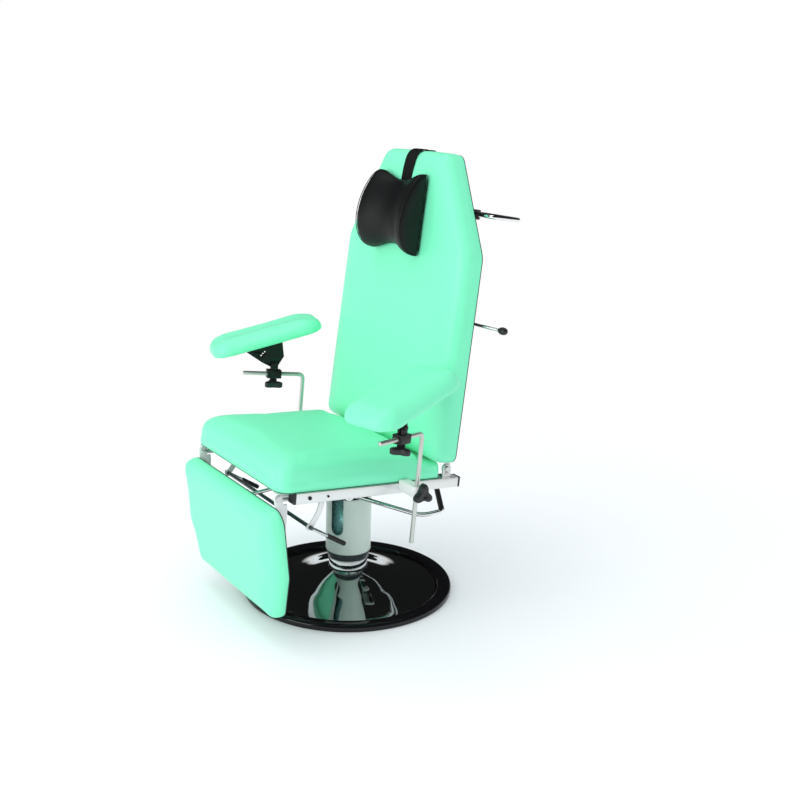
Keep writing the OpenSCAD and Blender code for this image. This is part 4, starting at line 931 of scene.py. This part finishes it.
edge_shares = np.array([s for s in panel_side if s[0] < 1 or s[0] > 1.3])
strap_line = [[-0.6, 690], [-0.6, 806]]
strap_line += [[3 + s[1] * 70 + 1.0, 810 - s[0] * 60 + 0.6] for s in edge_shares]
strap_line += [[75.0, 640], [75.0, 565]]
strap_line = round_off(strap_line, 6, 3)
run = np.gradient(strap_line, axis=0)
run /= np.linalg.norm(run, axis=1)[:, None]
outward = np.stack([-run[:, 1], run[:, 0]], 1)
strap_rows = []
for x, lift in ((-24, 0.2), (-24, 1.6), (-22.8, 2.2), (0, 2.2), (22.8, 2.2), (24, 1.6), (24, 0.2)):
    line = strap_line + outward * lift
    strap_rows.append(np.column_stack([np.full(len(line), x), line[:, 1], line[:, 0]]))
strap_grid = np.array(strap_rows).transpose(1, 0, 2)
rows, sides = strap_grid.shape[:2]
strap_faces = band_faces(rows, sides)[:, ::-1].tolist()
strap_faces += [list(range(sides))[::-1], [(rows - 1) * sides + i for i in range(sides)]]
strap = make(
    "pillow_strap",
    on_back(strap_grid),
    strap_faces,
    webbing,
    "backrest",
    ["headrest_strap"],
)
strap.data.polygons.foreach_set("use_smooth", [False] * len(strap.data.polygons))

d_outline = np.array(
    [[0, -0.5], [0.12, -0.5], [0.42, -0.48], [0.72, -0.41], [0.92, -0.29], [0.99, -0.17],
     [1, -0.06], [0.93, 0.09], [0.78, 0.24], [0.58, 0.37], [0.36, 0.46], [0.14, 0.5], [0, 0.5]]
)
pillow_half, pillow_high, pillow_deep, pillow_up, pillow_back = 108.0, 222.0, 75.0, 638.0, 78.0


def smooth_ring(points, count):
    """A closed curve through an outline: its points spaced evenly and averaged three times."""
    ring = even(np.asarray(points), count)
    for _ in range(3):
        ring = (np.roll(ring, 1, 0) + 2 * ring + np.roll(ring, -1, 0)) / 4
    return ring


d_ring = smooth_ring(d_outline * [pillow_deep, pillow_high], 72) / [pillow_deep, pillow_high]
d_ring = d_ring - [d_ring[:, 0].min(), 0]
across_share = np.sin(np.linspace(-np.pi / 2, np.pi / 2, 33))
swell_share = 1 - np.cos(np.pi / 2 * np.minimum(1, np.abs(across_share) * 1.08)) ** 1.6
deep = pillow_deep * (0.55 + 0.45 * swell_share)
high = pillow_high * (0.80 + 0.20 * swell_share)
pillow_grid = np.stack(
    [
        np.broadcast_to((pillow_half * across_share)[:, None], (len(deep), len(d_ring))),
        pillow_up + high[:, None] * d_ring[None, :, 1],
        pillow_back + deep[:, None] * d_ring[None, :, 0],
    ],
    -1,
)
pillow_points, pillow_faces = close_shell(pillow_grid)
pillow = make(
    "neck_pillow",
    on_back(pillow_points),
    pillow_faces,
    black_leather,
    "pillow",
    ["headrest_pillow"],
)
stuffed(pillow, 0.004, 0.003, close_to(on_back, pillow_back, 6))
piping_r, sides = 1.2, 8
circle = np.linspace(0, 2 * np.pi, sides, endpoint=False)
circle = np.stack([np.cos(circle), np.sin(circle)], -1) * piping_r
for name, row in (("left", -1), ("right", 0)):
    middle = pillow_grid[row].mean(0)
    ring = middle + (pillow_grid[row] - middle) * 0.975
    tube = along(np.concatenate([ring, ring[:2]]), circle)[1:-1]
    rows = len(tube)
    make(
        f"pillow_piping_{name}",
        on_back(tube),
        (band_faces(rows + 1, sides)[:, ::-1] % (rows * sides)).tolist(),
        black_leather,
        "pillow",
    )


# Gas springs: a black cylinder and a chrome rod behind the backrest, and a smaller pair for
# the footrest, each hinged on pins.
for node in ("back_spring_cylinder", "foot_spring_cylinder"):
    dress(node, satin_black, 0.0006)
for node in ("back_spring_rod", "foot_spring_rod"):
    dress(node, chrome, 0.0004)


# Footrest: a board with a foam cushion, narrowing to its lower edge, on two white angle arms
# that hang on bolts at the rails' front ends.
foot_lean, foot_top_y, foot_top_z = math.radians(5.5), -351.5, 382


def on_footrest(points):
    """Footrest places: across, up from the top edge, and forwards from the board's back."""
    x, u, f = np.moveaxis(np.asarray(points, float), -1, 0)
    c, s = math.cos(foot_lean), math.sin(foot_lean)
    return np.stack([x, foot_top_y - u * s - f * c, foot_top_z + u * c - f * s], -1) * 0.001


foot_corners = [[-274, -181], [-226, -314], [226, -314], [274, -181], [274, 0], [-274, 0]]
foot_radii = [40, 30, 30, 40, 42, 42]
foot_grid = cushion_points(foot_corners, foot_radii, 45.1, 40, 1.2)
foot_points, foot_faces = close_shell(foot_grid)
foot = make(
    "foot_pad",
    on_footrest(foot_points),
    foot_faces,
    mint,
    "footrest",
    ["footrest_cushion"],
)
stuffed(foot, 0.005, 0.004, close_to(on_footrest, 1.2, 9))
dress("footrest_board", wrapped("wrapped_foot_board", on_footrest, -0.01), 0.0008)
dress("footrest_arms", white_metal, 0.0008)


# Footrest release: a dark shaft on two hangers under the rails, with a hand lever at each
# end and a ribbed black rubber grip on it.
def at_shaft(points):
    """Shaft places: across, rearwards and up from the release shaft's middle."""
    return on_frame(np.asarray(points, float) + [0, -255, -97])


shaft_grey = Finish("browned_steel", (0.10, 0.125, 0.13), 0.35, 0.6)
shaft_grey.roughness(shaft_grey.noise(80, 4.0) * 0.14 + 0.30)
shaft_grey.relief(shaft_grey.noise(900, 2.0), 0.00002)
rod(
    "release_shaft_rod",
    [[-254, 0, 0], [254, 0, 0]],
    5,
    shaft_grey,
    "footrest_release",
    ["release_shaft"],
    at_shaft,
)
lever_drop, lever_across, grip_from, grip_to = math.radians(28), 248.2, 56, 118
lever_run = np.array([0, math.cos(lever_drop), -math.sin(lever_drop)])
for name, way in (("left", 1), ("right", -1)):
    start = np.array([way * lever_across, 0, 0])
    rod(
        f"release_lever_{name}",
        [start, start + 112 * lever_run],
        4.5,
        bright_steel,
        "footrest_release",
        (),
        at_shaft,
    )
    grip_line = np.linspace(grip_from, grip_to, 90)
    grip_out = 6.2 + 0.3 * np.sign(np.sin(grip_line * 2 * np.pi / 6.2))
    grip_out -= 1.2 * np.exp(-np.minimum(grip_line - grip_from, grip_to - grip_line) / 1.2)
    grip_profile = np.concatenate(
        [[[0.01, grip_from]], np.stack([grip_out, grip_line], 1), [[0.01, grip_to]]]
    )

    def on_lever(points, way=way):
        """Turned points with their axis along the lever."""
        x, y, z = np.moveaxis(np.asarray(points, float), -1, 0)
        c, s = math.cos(lever_drop), math.sin(lever_drop)
        return at_shaft(np.stack([way * lever_across + x, z * c + y * s, -z * s + y * c], -1))

    lathe(
        f"release_grip_{name}",
        grip_profile,
        rubber,
        "footrest_release",
        ["lever_grips"],
        32,
        closed=False,
        put=on_lever,
    )


# Armrests: on each side a bent satin steel rod stands in a nylon bush in its rail clamp; a
# black clamp on the rod's forward end carries the fan plate, the board and the pad.
satin_steel = Finish("satin_steel", (0.66, 0.68, 0.64), 0.42, 0.85)
satin_steel.roughness(satin_steel.noise(60, 4.0, satin_steel.stretched(1, 1, 0.08)) * 0.1 + 0.38)
satin_steel.relief(satin_steel.noise(1500, 2.0), 0.00001)
pad_corners = [[-81, -167.5], [81, -167.5], [82, 167.5], [-82, 167.5]]
pad_radii = [50, 50, 56, 56]
pad_side = np.array(
    [[0.03, 0.0], [0.0, 0.06], [0.004, 0.2], [0.02, 0.38], [0.05, 0.54], [0.13, 0.78],
     [0.20, 0.87], [0.28, 0.94], [0.38, 0.98], [0.5, 1.0]]
)
pad_half, pad_thick, trough_half, trough_deep = 82, 45.0, 56, 6
rod_across, rod_back, rod_down, rod_ahead = 317, 11.5, 298, 182
pivot_out, pivot_ahead, pivot_up, pad_ahead, pad_up = 12, 90, 28, 3, 72


def pad_points():
    """Arm pad: widest at its lower edge, domed on top, and a trough along the middle whose
    depth falls off as (1 - (x / trough_half)^2)^1.5 to both sides."""
    rings = []
    for inset_share, height_share in pad_side:
        ring = ring_of(pad_corners, pad_radii, inset_share * pad_half, 8)
        rings.append(np.column_stack([ring, np.full(len(ring), height_share * pad_thick)]))
    rim = rings[-1]
    level = np.full(len(rim), pad_thick)
    for t in np.linspace(1, 0.03, 9)[1:]:
        rings.append(np.column_stack([rim[:, 0] * t, rim[:, 1] * (0.7 + 0.3 * t), level]))
    grid = np.array(rings)
    dip = trough_deep * np.maximum(0, 1 - (grid[..., 0] / trough_half) ** 2) ** 1.5
    grid[..., 2] -= np.where(grid[..., 2] > pad_thick - 4, dip, 0)
    grid[..., 2] += 1.0
    return grid


def three_lobes(count=96):
    """Outline of a three-lobed knob: the radius swings between its boss and its lobes as
    1 + cos(3a), sharpened so that the lobes are narrower than the gaps."""
    a = np.linspace(0, 2 * np.pi, count, endpoint=False)
    swing = ((1 + np.cos(3 * a)) / 2) ** 1.25
    return a, 15.2 + 14.2 * swing


def star_points(thick, boss):
    """Rows of a star knob along Z: its stud, a plain boss, then the lobed head with rounded
    edges and a shallow recess in its face."""
    a, lobes = three_lobes()
    face = boss + thick
    rows = [(-9.3, 3.78), (0, 3.99), (0, 10.5), (boss, 10.5)]
    rows += [(boss + 0.2, lobes * 0.90), (boss + 1.4, lobes * 0.97), (boss + 3.5, lobes)]
    rows += [(face - 4.5, lobes), (face - 2.0, lobes * 0.965), (face - 0.6, lobes * 0.90)]
    rows += [(face, lobes * 0.78), (face, 7.5), (face - 1.2, 6.6)]
    return np.array(
        [np.stack([r * np.cos(a), r * np.sin(a), np.full(len(a), z)], -1) for z, r in rows]
    )


for name, way, top, turn, slope in (
    ("left", 1, 152.5, 20.0, 15.5),
    ("right", -1, 167.0, 16.0, 18.0),
):
    turn, slope = math.radians(turn), math.radians(slope)

    def on_arm(points, way=way, top=top, turn=turn):
        """Arm places: outwards, rearwards and up from the rod's bend, turned with the rod."""
        x, y, z = np.moveaxis(np.asarray(points, float), -1, 0)
        c, s = math.cos(turn), math.sin(turn)
        return on_frame(
            np.stack(
                [way * (rod_across + x * c - y * s), rod_back + x * s + y * c, z + top], -1
            )
        )

    def on_pad(points, slope=slope, on_arm=on_arm):
        """Pad places: from the middle of the pad's underside, sloped on its pivot bolt."""
        x, y, z = np.moveaxis(np.asarray(points, float), -1, 0)
        y, z = y - pad_ahead, z + pad_up
        c, s = math.cos(slope), math.sin(slope)
        back, up = y * c - z * s - pivot_ahead, y * s + z * c + pivot_up
        return on_arm(np.stack([x + pivot_out, back, up], -1))

    bent = [[0, 0, -rod_down], [0, 0, 0], [0, -rod_ahead, 0]]
    rod(
        f"arm_bar_{name}",
        round_off(bent, 16, 10),
        6,
        satin_steel,
        f"arm_rod_{name}",
        [f"arm_rod_{name}"],
        on_arm,
        32,
    )
    dress(f"rod_bush_{name}", white_plastic, 0.0004)
    dress(f"pad_clamp_{name}", satin_black, 0.0012)
    dress(f"pad_fan_{name}", satin_black, 0.0006)
    dress(f"pad_board_{name}", board_black, 0.0008)
    shell, faces = close_shell(pad_points())
    pad = make(
        f"arm_pad_{name}",
        on_pad(shell),
        faces,
        mint,
        f"arm_pad_{name}",
        [f"pad_cushion_{name}"],
    )
    stuffed(pad, 0.0045, 0.003, close_to(on_pad, 1, 5))

    def beside_rail(points, way=way):
        """Knob rows with their axis outwards from the rail clamp."""
        x, y, z = np.moveaxis(np.asarray(points, float), -1, 0)
        out = rod_across + 15.3 + z
        return on_frame(np.stack([way * out, rod_back + y, x - 4], -1))

    def under_clamp(points, on_arm=on_arm):
        """Knob rows with their axis down from the pad clamp."""
        x, y, z = np.moveaxis(np.asarray(points, float), -1, 0)
        return on_arm(np.stack([x, y - pivot_ahead, -16 - z], -1))

    star, star_faces = close_shell(star_points(18.6, 5.7))
    make(
        f"rail_star_{name}",
        beside_rail(star),
        star_faces,
        black_plastic,
        f"rail_screw_{name}",
        [f"rail_knob_{name}"],
    )
    star, star_faces = close_shell(star_points(16.8, 7.8))
    make(
        f"clamp_star_{name}",
        under_clamp(star),
        star_faces,
        black_plastic,
        f"clamp_screw_{name}",
        [f"clamp_knob_{name}"],
    )


# Every new mesh is turned so that its faces point outwards, which also sets right the pieces
# that were mirrored to the other side. The column's tube is an open sheet until it thickens.
for piece in own_pieces:
    if piece == column_tube:
        continue
    work = bmesh.new()
    work.from_mesh(piece.data)
    bmesh.ops.remove_doubles(work, verts=work.verts, dist=0.000002)
    bmesh.ops.recalc_face_normals(work, faces=work.faces)
    work.to_mesh(piece.data)
    work.free()
